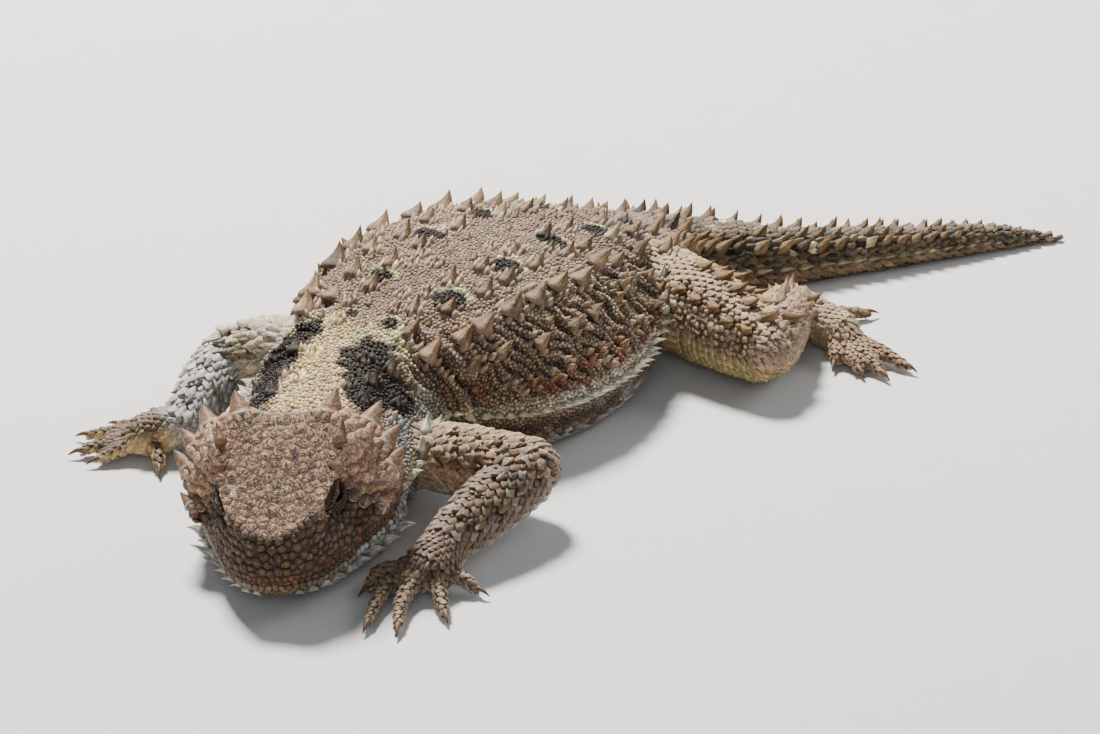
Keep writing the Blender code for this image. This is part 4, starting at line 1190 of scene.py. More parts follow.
def rows_across(coat, group, first, last, step_of, low, high):
    """Rows of scales across the body or round the tail."""
    y, row = first, 0
    while y < last:
        step = step_of(y)
        ring = body_ring(y, 10)
        lengths = np.linalg.norm(np.roll(ring, -1, 0) - ring, axis=1)
        total = np.concatenate(((0.0,), np.cumsum(lengths)))
        count = max(8, round(total[-1] / step))
        places = (np.arange(count) + 0.5 * (row % 2)) / count * total[-1]
        closed = np.vstack((ring, ring[:1]))
        spots = np.stack([np.interp(places, total, closed[:, k]) for k in range(3)], 1)
        edge = station(y)[3]
        spots = spots[(spots[:, 2] >= low * edge) & (spots[:, 2] <= high * edge)]
        if len(spots):
            spots, normals = coat.settle(spots)
            keep = open_ground(spots) & (labels_of(spots) == group)
            spots, normals = spots[keep], normals[keep]
            if len(spots):
                radii = np.full(len(spots), 0.5 * step)
                coat.add(group, spots, normals, trunk_lie(spots, normals), radii, loose=0.8)
        y += 0.86 * step
        row += 1


def head_row(coat, group, half, lift, step, first, last, radius, loose=0.7):
    """A row of scales along one of the head's lines, on both sides."""
    for side in SIDES:
        curve = open_curve(np.array(half, float), 8)
        curve = curve[(curve[:, 1] >= first) & (curve[:, 1] <= last)]
        spots = walk(curve, step)[0] * np.array((side, 1, 1)) + np.array((0, 0, lift))
        spots, normals = coat.settle(from_head(spots))
        keep = open_ground(spots)
        if group == "brow":
            keep &= on_crown(into_head(spots)) > 0.4
        spots, normals = spots[keep], normals[keep]
        radii = np.full(len(spots), radius)
        coat.add(group, spots, normals, head_lie(spots, normals), radii, loose=loose)


def horn_collars(coat):
    """A ring of larger scales round the foot of each horn."""
    for name, root, tip, radius in horn_axes():
        axis, side, up = frame_along(tip - root)
        girth = horn_girth(radius, HORN_START - 0.12)
        count = max(6, round(2 * math.pi * girth / 1.0))
        turns = (np.arange(count) + 0.5)[:, None] * 2 * math.pi / count
        out = np.cos(turns) * side + np.sin(turns) * up
        spots, normals = coat.settle(root + (tip - root) * (HORN_START - 0.12) + out * girth)
        keep = open_ground(spots)
        spots, normals = spots[keep], normals[keep]
        lie = lie_along(axis, normals)
        coat.add("temple", spots, normals, lie, np.full(len(spots), 0.5), loose=0.75)


def crown_spacing(points):
    local = into_head(points)
    middle = ramp(np.abs(local[:, 0]), 1.4, 0.3)
    rear = ramp(local[:, 1], -0.5, 1.5)
    over_eye = ramp(np.hypot(np.abs(local[:, 0]) - 3.6, local[:, 1] + 0.8), 2.6, 1.0)
    size = 1.04 + 0.26 * middle + 0.16 * rear - 0.12 * over_eye
    return size * (1 + 0.32 * drift(points, 0.9, 71))


def head_spacing(points):
    local = into_head(points)
    rise = face_height(local)
    temple = ramp(local[:, 1], -2.2, -0.8) * ramp(rise, 0.1, 0.24)
    size = 0.74 + 0.32 * temple
    return size * (1 + 0.2 * drift(points, 1.1, 72))


def body_spacing(points):
    place = BodyPlace(points)
    neck = ramp(place.along, -18.0, -21.0)
    back = ramp(place.up, 0.7, 0.95)
    size = 0.345 + 0.045 * back + 0.03 * neck
    return size * (1 + 0.12 * drift(points, 1.3, 73))


def plain_spacing(size, seed):
    return lambda points: size * (1 + 0.1 * drift(points, 1.4, seed))


def relax(coat, group, rounds):
    """Even out the gaps between the scales of a group."""
    points, normals, ways, radii = coat.groups[group]
    for _ in range(rounds):
        tree = KDTree(len(points))
        for i, p in enumerate(points.tolist()):
            tree.insert(p, i)
        tree.balance()
        near = np.array([[j for _, j, _ in tree.find_n(p, 8)][1:] for p in points.tolist()])
        offset = points[:, None] - points[near]
        far = np.linalg.norm(offset, axis=2) + 1e-6
        want = (radii[:, None] + radii[near]) * 1.06
        push = np.maximum(want - far, 0) * 0.22 / far
        moved = points + np.clip((offset * push[:, :, None]).sum(1), -0.2, 0.2)
        spots, outs = coat.settle(moved)
        stay = open_ground(spots) & (labels_of(spots) == group)
        points[stay], normals[stay] = spots[stay], outs[stay]
    coat.groups[group] = (points, normals, lie_along(ways, normals), radii)


# Spines: place across the section, first and last y, step, lengths, radii, lean
# outward, backward and up, and whether they are pale
BODY_SPINES = (
    (3.0, -31.5, -20.5, 2.0, (1.5, 1.9), (0.66, 0.8), (1.0, 0.5, 0.1), "pale"),
    (3.0, -17.2, 20.6, 1.42, (1.3, 1.85), (0.46, 0.52), (1.0, 0.42, 0.0), "pale"),
    (3.7, -11.0, 18.0, 2.9, (1.0, 1.1), (0.48, 0.5), (1.0, 0.9, 0.4), "gold"),
    (4.4, -13.5, 22.0, 4.3, (1.8, 1.6), (0.84, 0.8), (1.0, 0.9, 0.5), "gold"),
    (5.0, -17.0, 25.0, 3.7, (2.5, 2.3), (1.12, 1.05), (0.9, 1.0, 0.5), "gold"),
    (5.7, -15.2, 24.0, 4.4, (1.9, 1.8), (0.86, 0.82), (1.0, 0.9, 0.3), "gold"),
    (6.4, -12.4, 22.0, 5.2, (1.8, 1.6), (0.8, 0.74), (1.0, 0.9, 0.3), "gold"),
    (4.4, -29.0, -23.0, 2.9, (1.0, 1.3), (0.5, 0.55), (1.0, 0.5, 0.4), "dark"),
    (5.3, -29.5, -22.5, 3.3, (1.3, 1.7), (0.58, 0.66), (1.0, 0.7, 0.6), "dark"),
    (6.3, -27.5, -22.5, 4.6, (1.0, 1.1), (0.46, 0.46), (1.0, 0.7, 0.6), "gold"),
    (3.1, 27.5, 71.5, 0.0, (2.2, 0.5), (0.74, 0.26), (1.0, 0.7, 0.2), "tail"),
    (3.9, 28.5, 70.0, 0.0, (1.3, 0.4), (0.6, 0.26), (1.0, 0.8, 0.3), "ring"),
    (4.6, 27.0, 71.5, 0.0, (2.6, 0.5), (0.88, 0.28), (1.0, 0.7, 0.6), "ring"),
    (5.3, 28.5, 70.0, 0.0, (1.5, 0.4), (0.64, 0.26), (1.0, 0.8, 0.5), "ring"),
    (6.0, 27.0, 71.5, 0.0, (2.3, 0.5), (0.82, 0.26), (1.0, 0.7, 0.6), "ring"),
)
# Leg spines: angle from straight up toward the front, first and last place
# along the bone, count, length and radius
LEG_SPINES = {
    "arm": (
        ((70, 0.4, 0.95, 5, 1.2, 0.62), (10, 0.45, 0.95, 4, 1.0, 0.55), (40, 0.5, 0.95, 3, 1.0, 0.55)),
        ((50, 0.1, 0.9, 5, 1.1, 0.58), (-10, 0.15, 0.85, 4, 1.0, 0.54), (-65, 0.1, 0.8, 4, 1.2, 0.58)),
    ),
    "leg": (
        ((-62, 0.4, 0.95, 4, 2.7, 0.82), (-12, 0.35, 0.95, 5, 2.3, 0.88), (40, 0.4, 0.95, 5, 1.6, 0.74),
         (-36, 0.4, 0.9, 3, 1.9, 0.72), (15, 0.45, 0.9, 3, 1.5, 0.66), (75, 0.5, 0.95, 4, 1.2, 0.6)),
        ((-60, 0.1, 0.9, 4, 2.1, 0.74), (-5, 0.1, 0.92, 5, 2.1, 0.74), (50, 0.15, 0.92, 4, 1.4, 0.66)),
    ),
}
JAW_SPINES = 9
JAW_SPINE_LENGTHS = (0.7, 2.3)


class SpineBed:
    """Spines rooted on the skin, kept apart, with a rosette of small scales round each."""

    def __init__(self, coat):
        self.coat = coat
        self.random = np.random.default_rng(SEED + 5)
        self.rows = []

    def grow(self, points, leans, lengths, radii, kind, rosette=True):
        spots, normals = self.coat.settle(points)
        far = np.linalg.norm(spots - points, axis=1)
        for i, (spot, normal) in enumerate(zip(spots, normals)):
            if far[i] > 1.3 or spot[2] < 0.5 or not open_ground(spot[None])[0]:
                continue
            radius = radii[i] * (1 + 0.12 * self.random.uniform(-1, 1))
            if not self.coat.free(spot.tolist(), radius * 0.8):
                continue
            axis = unit(leans[i])
            facing = float(axis @ normal)
            if facing < 0.5:
                axis = unit(axis + normal * (0.6 - facing))
            length = lengths[i] * (1 + 0.18 * self.random.uniform(-1, 1))
            self.coat.take(spot.tolist(), radius * 0.8)
            self.rows.append((spot, normal, axis, length, radius, kind))
            if rosette:
                self.surround(spot, normal, axis, radius)

    def surround(self, spot, normal, axis, radius):
        count = int(self.random.integers(6, 9))
        back = lie_along(axis, normal[None])[0]
        side = np.cross(normal, back)
        turns = (np.arange(count) + self.random.random()) * 2 * math.pi / count
        away = np.cos(turns)[:, None] * back + np.sin(turns)[:, None] * side
        points, normals = self.coat.settle(spot + away * (radius + 0.26))
        keep = open_ground(points)
        size = np.full(len(points), 0.36) * self.random.uniform(0.85, 1.2, len(points))
        rows = (points[keep], normals[keep], lie_along(axis, normals)[keep], size[keep])
        self.coat.add("rosette", *rows, loose=0.62)


def body_spine_rows(bed):
    for place, first, last, step, lengths, radii, lean, kind in BODY_SPINES:
        if kind in ("tail", "ring"):
            y = np.linspace(first, last, 400)
            turns = tail_rings(y)
            row = np.interp(np.arange(math.ceil(turns[0]), int(turns[-1]) + 1), turns, y)
        else:
            row = np.linspace(first, last, int((last - first) / step + 0.5) + 1)
        count = len(row)
        t = np.linspace(0, 1, count)
        for side in SIDES:
            spots = row + 0.14 * step * bed.random.uniform(-1, 1, count)
            across = place + (0.0 if place < 3.2 else 0.1) * bed.random.uniform(-1, 1, count)
            points = np.array([body_point(y, p, side) for y, p in zip(spots, across)])
            points, normals = bed.coat.settle(points)
            back = BodyPlace(points).back
            leans = normals * lean[0] + back * lean[1] + np.array((0, 0, lean[2]))
            long = lengths[0] + (lengths[1] - lengths[0]) * t
            wide = radii[0] + (radii[1] - radii[0]) * t
            bed.grow(points, leans, long, wide, kind, rosette=kind not in ("pale", "tail", "ring"))


def small_thorns(bed):
    """Small cones strewn between the spines of the back and flanks."""
    coat = bed.coat
    spots, outs = coat.middles(), coat.settle(coat.middles())[1]
    place = BodyPlace(spots)
    ground = np.isin(coat.labels, ("back", "flank")) & (place.up > 0.2)
    picks = bed.random.permutation(np.where(ground)[0])[:700]
    taken = np.zeros((0, 3))
    for i in picks:
        if len(taken) and np.linalg.norm(taken - spots[i], axis=1).min() < 2.1:
            continue
        taken = np.vstack((taken, spots[i]))
        lean = outs[i] * 0.9 + place.back[i] * 0.8 + np.array((0, 0, 0.2))
        size = bed.random.uniform(0.7, 1.1)
        bed.grow(spots[i][None], lean[None], (0.95 * size,), (0.46 * size,), "gold", rosette=size > 0.95)


def leg_spine_rows(bed):
    for name, joints, bulges, toes in LEGS:
        kinds = LEG_SPINES[name.split("_")[0]]
        for i in range(2):
            start, end = np.array(joints[i][0]), np.array(joints[i + 1][0])
            axis = unit(end - start)
            up = unit(np.array((0.0, 0.0, 1.0)) - axis * axis[2])
            ahead = np.cross(axis, up)
            ahead = -ahead if ahead[1] > 0 else ahead
            for angle, first, last, count, length, radius in kinds[i]:
                t = np.linspace(first, last, count)
                turn = math.radians(angle) + 0.1 * bed.random.uniform(-1, 1, count)
                out = np.cos(turn)[:, None] * up + np.sin(turn)[:, None] * ahead
                size = joints[i][1] + (joints[i + 1][1] - joints[i][1]) * t
                points = start + (end - start) * t[:, None] + out * size[:, None]
                arm = name.startswith("arm")
                kind = "silver" if arm and i == 1 else "gold"
                lean = out + (1.6 if arm else 0.8) * axis
                bed.grow(points, lean, np.full(count, length), np.full(count, radius), kind, rosette=not arm)


def jaw_spine_rows(bed):
    half = open_curve(np.array(JAW_RING, float)[:5], 8)
    for side in SIDES:
        t = np.linspace(0.16, 0.96, JAW_SPINES)
        spots = np.stack([np.interp(t * (len(half) - 1), np.arange(len(half)), half[:, k]) for k in range(3)], 1)
        points = from_head(spots * np.array((side, 1, 1)))
        out = np.stack((side * (0.5 + 0.5 * t), -0.5 + 0.9 * t, np.full(len(t), -0.12)), 1)
        lengths = JAW_SPINE_LENGTHS[0] + (JAW_SPINE_LENGTHS[1] - JAW_SPINE_LENGTHS[0]) * t ** 1.7
        bed.grow(points, turn_from_head(out), lengths, 0.36 + 0.3 * t, "jaw", rosette=False)


def rear_points(bed):
    """Small points on the brow's rear corner and the rim of the temple."""
    rows = (((6.1, 1.7, 12.2), (6.6, 3.2, 13.5), 0.72), ((6.3, -1.2, 11.1), (6.8, 0.0, 12.0), 0.52))
    for root, tip, radius in rows:
        for side in SIDES:
            ends = from_head(np.array((root, tip)) * np.array((side, 1, 1)))
            way = ends[1] - ends[0]
            size = np.array((np.linalg.norm(way),))
            bed.grow(ends[:1], way[None], size, np.array((radius,)), "head", rosette=False)


def set_scales(coat):
    """Choose every scale's place, the large ones first."""
    coat.labels = labels_of(coat.middles())
    bed = SpineBed(coat)
    rear_points(bed)
    jaw_spine_rows(bed)
    body_spine_rows(bed)
    leg_spine_rows(bed)
    small_thorns(bed)
    coat.spines = bed.rows
    horn_collars(coat)
    y = np.linspace(-9.0, 4.2, 24)
    edge = np.stack((np.zeros(24), y, np.zeros(24)), 1)
    edge = np.stack((brow_half(edge) - 0.42, y, brow_level(edge) + 0.1), 1)
    head_row(coat, "brow", edge, 0.0, 1.45, -8.5, 4.2, 0.5)
    head_row(coat, "labial", LIP_RING, 0.46, 0.72, -11.0, 5.0, 0.35)
    head_row(coat, "labial", LIP_RING, 1.02, 0.62, -11.0, 5.0, 0.32)
    head_row(coat, "chin", LIP_RING, -0.46, 0.72, -11.0, 5.0, 0.35)
    head_row(coat, "chin", LIP_RING, -1.05, 0.9, -11.0, 5.0, 0.42)
    coat.scatter("crown", crown_spacing, head_lie, 60.0)
    relax(coat, "crown", 14)
    coat.scatter("crown", plain_spacing(0.86, 79), head_lie, 20.0)
    relax(coat, "crown", 6)
    coat.scatter("crown", plain_spacing(0.66, 81), head_lie, 8.0)
    coat.scatter("temple", head_spacing, head_lie, 20.0)
    coat.scatter("snout", head_spacing, head_lie)
    coat.scatter("jaw", plain_spacing(0.56, 74), head_lie)
    limb_rows(coat)
    coat.scatter("limb", plain_spacing(0.7, 75), limb_lie)
    coat.scatter("limb", plain_spacing(0.5, 80), limb_lie)
    coat.scatter("toe", plain_spacing(0.5, 76), limb_lie)
    tail_step = lambda y: 0.86 if y < 42 else 0.86 - 0.3 * (y - 42) / 32
    rows_across(coat, "tail", 25.2, 73.0, tail_step, -1.0, 9.0)
    coat.scatter("tail", plain_spacing(0.6, 77), trunk_lie)
    rows_across(coat, "belly", -38.0, 25.0, lambda y: 1.0, -1.0, 0.5)
    coat.scatter("belly", plain_spacing(0.85, 78), trunk_lie)
    for name in ("neck", "back", "flank"):
        coat.scatter(name, body_spacing, trunk_lie)


# Scales as meshes

DOME = ((1.0, -0.4), (0.98, 0.2), (0.66, 0.8))
GRAIN = ((1.0, -0.45), (0.88, 0.5))
SCUTE = ((1.0, -0.45), (0.99, 0.1), (0.94, 0.62), (0.87, 0.86), (0.64, 0.97), (0.3, 1.0))
# Painted shade in a ring just inside each plate's pale seam, and a painted highlight near its top
SCUTE_PAINTED_SHADING = (0.8, 1.0, 0.9, 0.6, 1.0, 1.14)
LEAF = ((1.0, -0.3), (1.0, 0.24), (0.94, 0.36), (0.55, 0.82))
THORN = ((1.0, -0.2), (0.92, 0.1), (0.5, 0.5))
# profile, sides, neighbours, height, overlap, tilt, point, keel, lean, roughness
# of the form, tone of the seam and its share, painted shade at the seam and painted light on the top
KINDS = {
    "crown": (SCUTE, 14, 14, 0.36, 0.96, 0.0, 0.0, 0.05, 0.0, 0.02, "seam", 0.9, 1.0, 0.6),
    "brow": (SCUTE, 14, 14, 0.4, 0.95, 0.0, 0.0, 0.1, 0.0, 0.0, "seam", 0.7, 0.9, 1.0),
    "temple": (SCUTE, 14, 14, 0.46, 0.94, 0.04, 0.0, 0.6, 0.3, 0.04, "seam", 0.9, 1.0, 1.0),
    "snout": (DOME, 8, 9, 0.38, 1.0, 0.12, 0.1, 0.5, 0.2, 0.1, "seam", 0.05, 0.34, 1.4),
    "labial": (DOME, 8, 9, 0.42, 0.97, 0.0, 0.0, 0.1, 0.0, 0.06, "seam", 0.05, 0.38, 1.25),
    "chin": (DOME, 8, 9, 0.42, 0.95, 0.05, 0.2, 0.2, 0.0, 0.06, "seam", 0.1, 0.45, 1.1),
    "jaw": (DOME, 8, 9, 0.5, 0.95, 0.1, 0.1, 0.1, 0.1, 0.05, "seam", 0.1, 0.5, 1.15),
    "neck": (GRAIN, 7, 8, 1.0, 0.9, 0.0, 0.0, 0.0, 0.0, 0.08, "seam", 0.0, 0.25, 1.35),
    "back": (GRAIN, 7, 8, 0.8, 0.94, 0.12, 0.05, 0.15, 0.15, 0.1, "seam", 0.0, 0.36, 1.28),
    "flank": (GRAIN, 7, 8, 0.9, 0.94, 0.14, 0.05, 0.15, 0.15, 0.1, "seam", 0.0, 0.3, 1.35),
    "belly": (GRAIN, 8, 8, 0.3, 1.02, 0.12, 0.1, 0.0, 0.0, 0.03, "seam", 0.0, 0.6, 1.05),
    "tail": (LEAF, 8, 8, 0.42, 1.15, 0.38, 0.7, 1.4, 0.35, 0.06, "seam", 0.0, 0.4, 1.3),
    "limb": (LEAF, 8, 8, 0.36, 1.2, 0.4, 0.85, 1.6, 0.4, 0.06, "seam", 0.08, 0.42, 1.45),
    "toe": (LEAF, 8, 8, 0.36, 1.14, 0.32, 0.5, 1.0, 0.2, 0.05, "seam", 0.1, 0.45, 1.25),
    "rosette": (THORN, 8, 8, 1.5, 1.15, 0.2, 0.3, 0.2, 0.9, 0.06, "seam", 0.0, 0.45, 1.35),
}


def ring_mesh(count, sides, rings):
    """Faces of many capped forms: quads between rings, tips, and closed bases."""
    size = rings * sides + 1
    i = np.arange(sides)
    j = (i + 1) % sides
    quads = [np.stack((r * sides + i, r * sides + j, (r + 1) * sides + j, (r + 1) * sides + i), 1)
             for r in range(rings - 1)]
    base = (rings - 1) * sides
    tips = np.stack((base + i, base + j, np.full(sides, size - 1)), 1)
    floor = i[::-1][None]
    offset = (np.arange(count) * size)[:, None, None]
    parts = (np.vstack(quads), tips, floor)
    return [(part[None] + offset).reshape(-1, part.shape[1]) for part in parts]


def reach_of(tree, others, sizes, row, sides, near):
    """How far each scale goes each way before it meets its neighbours."""
    points, normals, ways, radii = row
    index = np.array([[j for _, j, _ in tree.find_n(p, near + 1)][1:] for p in points.tolist()])
    offset = others[index] - points[:, None]
    across = np.cross(normals, ways)
    a, b = (offset * ways[:, None]).sum(2), (offset * across[:, None]).sum(2)
    far = np.linalg.norm(offset, axis=2) + 1e-6
    middle = far * radii[:, None] / (radii[:, None] + sizes[index])
    turn = np.arctan2(b, a)
    angles = np.arange(sides) * 2 * math.pi / sides
    facing = np.cos(angles[None, None] - turn[:, :, None])
    reach = np.where(facing > 0.12, middle[:, :, None] / np.maximum(facing, 0.12), 1e3).min(1)
    cap = 1.9 if sides > 8 else 1.5 if near > 8 else 1.28
    return np.minimum(reach, cap * radii[:, None])


def plates(row, reach, kind, tones, random, coat=None):
    """Points, colours and cell places of a group of scales; large ones follow the skin."""
    profile, sides, _, height, overlap, tilt, point, keel, lean, rough = KINDS[kind][:10]
    seam_tone, seam_share, seam_painted_shade, top_painted_light = KINDS[kind][10:]
    points, normals, ways, radii = row
    count = len(points)
    across = np.cross(normals, ways)
    angles = np.arange(sides) * 2 * math.pi / sides
    cos, sin = np.cos(angles), np.sin(angles)
    size = reach.mean(1, keepdims=True)
    tall = height * size * random.uniform(0.85, 1.15, (count, 1))
    stretch = 1 + point * np.maximum(cos, 0) ** 3
    main = markings(points, normals)
    main = main * np.exp(random.normal(0, 0.11 if sides > 7 else 0.18, (count, 1)))
    main = main * np.exp(random.normal(0, 0.03, (count, 3)))
    # Painted shade darkens the foot of most scales and a painted highlight lightens their tops; the crown scales'
    # tops are darkened instead
    seam = mix(main, tones[seam_tone], seam_share * ramp(main.mean(1), 0.06, 0.15)) * seam_painted_shade
    top = main * top_painted_light
    seeds = random.random((count, 1))
    ragged = random.normal(0, rough, (count, sides))
    places, colours, cells = [], [], []
    for k, (share, rise) in enumerate(profile):
        r = reach * overlap * stretch * share
        lift = tall * max(rise, 0.0)
        a, b = r * cos + lean * lift, r * sin
        ridge = keel * np.exp(-(b / (0.35 * size)) ** 2) * max(rise, 0.0)
        z = tall * (rise + ridge + ragged * (rise > 0) * (1 - 0.4 * share)) + tilt * a * (share > 0.1)
        if k == 0:
            z = np.minimum(z, -0.3 * tall)
        flat = points[:, None] + a[..., None] * ways[:, None] + b[..., None] * across[:, None]
        if coat is not None and sides > 8:
            spots, outs = coat.settle(flat.reshape(-1, 3))
            outs = unit(outs.reshape(flat.shape) + normals[:, None])
            places.append(spots.reshape(flat.shape) + z[..., None] * outs)
        else:
            places.append(flat + z[..., None] * normals[:, None])
        tone = mix(seam, main, np.full(count, ramp(share, 0.98, 0.86)))
        if k == 0:
            tone = seam * 0.7
        if k == len(profile) - 1:
            tone = main
        if profile is SCUTE:
            tone = tone * SCUTE_PAINTED_SHADING[k]
        # A painted highlight on the free tip of each overlapping leaf-shaped scale
        edge = 1 + 1.5 * (profile is LEAF) * (share > 0.9) * np.maximum(cos, 0) ** 2
        colours.append(tone[:, None] * edge[None, :, None])
        cells.append(np.stack((np.tile(share * cos, (count, 1)), np.tile(share * sin, (count, 1)),
                               np.tile(seeds, (1, sides))), 2))
    apex = points + ways * lean * tall + normals * tall * (1 + keel * 0.9)
    places.append(apex[:, None])
    colours.append(top[:, None])
    cells.append(np.concatenate((np.zeros((count, 2)), seeds), 1)[:, None])
    return np.concatenate(places, 1), np.concatenate(colours, 1), np.concatenate(cells, 1)


SPIKE_PROFILE = ((-0.15, 1.2), (0.0, 1.04), (0.2, 0.8), (0.45, 0.53), (0.72, 0.26), (0.92, 0.07))
SPIKE_SIDES = 10


def spikes(rows, tones, random):
    """Curved, keeled spines with the base sunk in the skin."""
    spots = np.array([row[0] for row in rows])
    normals = np.array([row[1] for row in rows])
    axes = np.array([row[2] for row in rows])
    lengths = np.array([row[3] for row in rows])[:, None]
    radii = np.array([row[4] for row in rows])[:, None]
    kinds = np.array([row[5] for row in rows])
    count = len(rows)
    up = lie_along(normals, axes)
    side = np.cross(axes, up)
    angles = np.arange(SPIKE_SIDES) * 2 * math.pi / SPIKE_SIDES
    cos, sin = np.cos(angles), np.sin(angles)
    seeds = random.random((count, 1))
    main = markings(spots, normals)
    flat = np.where((kinds == "pale") | (kinds == "jaw"), 0.5, 0.15)[:, None]
    golden = 0.2 + 0.55 * ramp(main.mean(1), 0.02, 0.1)
    local = mix(main * 1.8, np.tile(tones["spine"], (count, 1)), golden)
    local = local * (1 - 0.15 * ramp(golden, 0.3, 0.7))[:, None]
    shade = np.where(((kinds == "pale") | (kinds == "jaw"))[:, None], tones["fringe"], local)
    silver = mix(main * 1.3, np.tile(tones["stripe"], (count, 1)), np.full(count, 0.25))
    shade = np.where((kinds == "silver")[:, None], silver, shade)
    edging = mix(main, np.tile(tones["fringe_green"], (count, 1)), np.full(count, 0.5))
    shade = np.where((kinds == "tail")[:, None], edging, shade)
    shade = np.where((kinds == "dark")[:, None], mix(main * 0.8, np.tile(tones["horn"] * 0.5, (count, 1)), np.full(count, 0.5)), shade)
    shade = np.where((kinds == "head")[:, None], tones["horn"], shade)
    shade = np.where((kinds == "jaw")[:, None], mix(tones["chin"], tones["fringe"], np.full(count, 0.4)), shade)
    shade = shade * np.exp(random.normal(0, 0.08, (count, 1)))
    places, colours, cells = [], [], []
    for t, width in SPIKE_PROFILE:
        keel = 1 + 0.32 * np.maximum(cos, 0) ** 4 - flat * np.maximum(-cos, 0) + 0.16 * np.cos(4 * angles)
        ribs = 1 + 0.05 * np.cos(5 * angles[None] + 6 * seeds)
        r = radii * width * keel * ribs
        middle = spots + axes * lengths * t - up * lengths * 0.1 * math.sin(math.pi * max(t, 0.0))
        middle = middle - normals * (0.22 + 0.4 * (kinds == "head"))[:, None] * (t < 0)
        places.append(middle[:, None] + (r * cos)[..., None] * up[:, None] + (r * sin)[..., None] * side[:, None])
        base = mix(main * 0.6, shade * 0.85, np.full(count, 0.25 if t <= 0 else 0.8))
        tone = mix(base, shade * 1.15, np.full(count, min(1.0, max(t, 0) * 1.5)))
        edge = 0.8 + 0.5 * np.maximum(np.cos(2 * angles), 0) ** 2
        colours.append(tone[:, None] * edge[None, :, None])
        wide = 1.0 - 0.8 * max(t, 0.0)
        cells.append(np.stack((np.tile(wide * cos, (count, 1)), np.tile(wide * sin, (count, 1)),
                               np.tile(seeds, (1, SPIKE_SIDES))), 2))
    places.append((spots + axes * lengths)[:, None])
    colours.append((shade * np.where(kinds == "pale", 1.0, 0.5)[:, None])[:, None])
    cells.append(np.concatenate((np.zeros((count, 2)), seeds), 1)[:, None])
    return np.concatenate(places, 1), np.concatenate(colours, 1), np.concatenate(cells, 1)


def coat_object(name, coat, batches):
    """One mesh from batches of forms: places, colours, cells, sides and roots."""
    points, colours, cells, roots, faces = [], [], [], [], []
    total = 0
    for places, tones, cell, sides, spots in batches:
        count, size = places.shape[:2]
        for part in ring_mesh(count, sides, (size - 1) // sides):
            faces.append(part + total)
        points.append(places.reshape(-1, 3))
        colours.append(tones.reshape(-1, 3))
        cells.append(cell.reshape(-1, 3))
        roots.append(np.repeat(coat.map_places(spots), size, 0))
        total += count * size
    points, colours = np.vstack(points), np.vstack(colours)
    cells, roots = np.vstack(cells), np.vstack(roots)
    points[:, 2] = np.maximum(points[:, 2], 0.02)
    item = new_object(name, points, faces)
    store(item.data, "ground", "FLOAT_COLOR", np.clip(colours, 0.0, 1.0))
    store(item.data, "cell", "FLOAT_VECTOR", cells)
    loops = np.concatenate([part.ravel() for part in faces])
    spread = roots + 0.0013 * cells[:, :2]
    layer = item.data.uv_layers.new(name="OFBake")
    layer.uv.foreach_set("vector", np.clip(spread[loops], 0, 1).astype(np.float32).ravel())
    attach(item, "root")
    return item


# Materials

class Nodes:
    """Short calls for building a material's nodes."""

    def __init__(self, name):
        self.material = bpy.data.materials.new(name)
        self.material.use_nodes = True
        self.tree = self.material.node_tree
        self.shader = self.tree.nodes["Principled BSDF"]

    def add(self, kind, inputs=(), **values):
        node = self.tree.nodes.new(kind)
        for key, value in values.items():
            setattr(node, key, value)
        for key, value in dict(inputs).items():
            if isinstance(value, bpy.types.NodeSocket):
                self.tree.links.new(value, node.inputs[key])
            else:
                node.inputs[key].default_value = value
        return node

    def math(self, kind, a, b=0.0, clamp=False):
        return self.add("ShaderNodeMath", {0: a, 1: b}, operation=kind, use_clamp=clamp).outputs[0]

    def span(self, value, low, high, to_low, to_high):
        inputs = {"Value": value, "From Min": low, "From Max": high, "To Min": to_low, "To Max": to_high}
        return self.add("ShaderNodeMapRange", inputs, clamp=True).outputs["Result"]

    def noise(self, vector, scale, detail=2.0, roughness=0.5):
        inputs = {"Vector": vector, "Scale": scale, "Detail": detail, "Roughness": roughness}
        return self.add("ShaderNodeTexNoise", inputs).outputs["Fac"]

    def attribute(self, name):
        return self.add("ShaderNodeAttribute", attribute_name=name)

    def scaled(self, colour, factor):
        tint = self.add("ShaderNodeCombineColor", {"Red": factor, "Green": factor, "Blue": factor}).outputs[0]
        node = self.add("ShaderNodeMix", data_type="RGBA", blend_type="MULTIPLY")
        node.inputs["Factor"].default_value = 1.0
        self.tree.links.new(colour, node.inputs["A"])
        self.tree.links.new(tint, node.inputs["B"])
        return node.outputs["Result"]

    def finish(self, colour, roughness, height, distance, strength, specular=0.4):
        bump = self.add("ShaderNodeBump", {"Height": height, "Distance": distance, "Strength": strength})
        links = self.tree.links
        links.new(colour, self.shader.inputs["Base Color"])
        links.new(roughness, self.shader.inputs["Roughness"])
        links.new(bump.outputs["Normal"], self.shader.inputs["Normal"])
        self.shader.inputs["Specular IOR Level"].default_value = specular
        return self.material


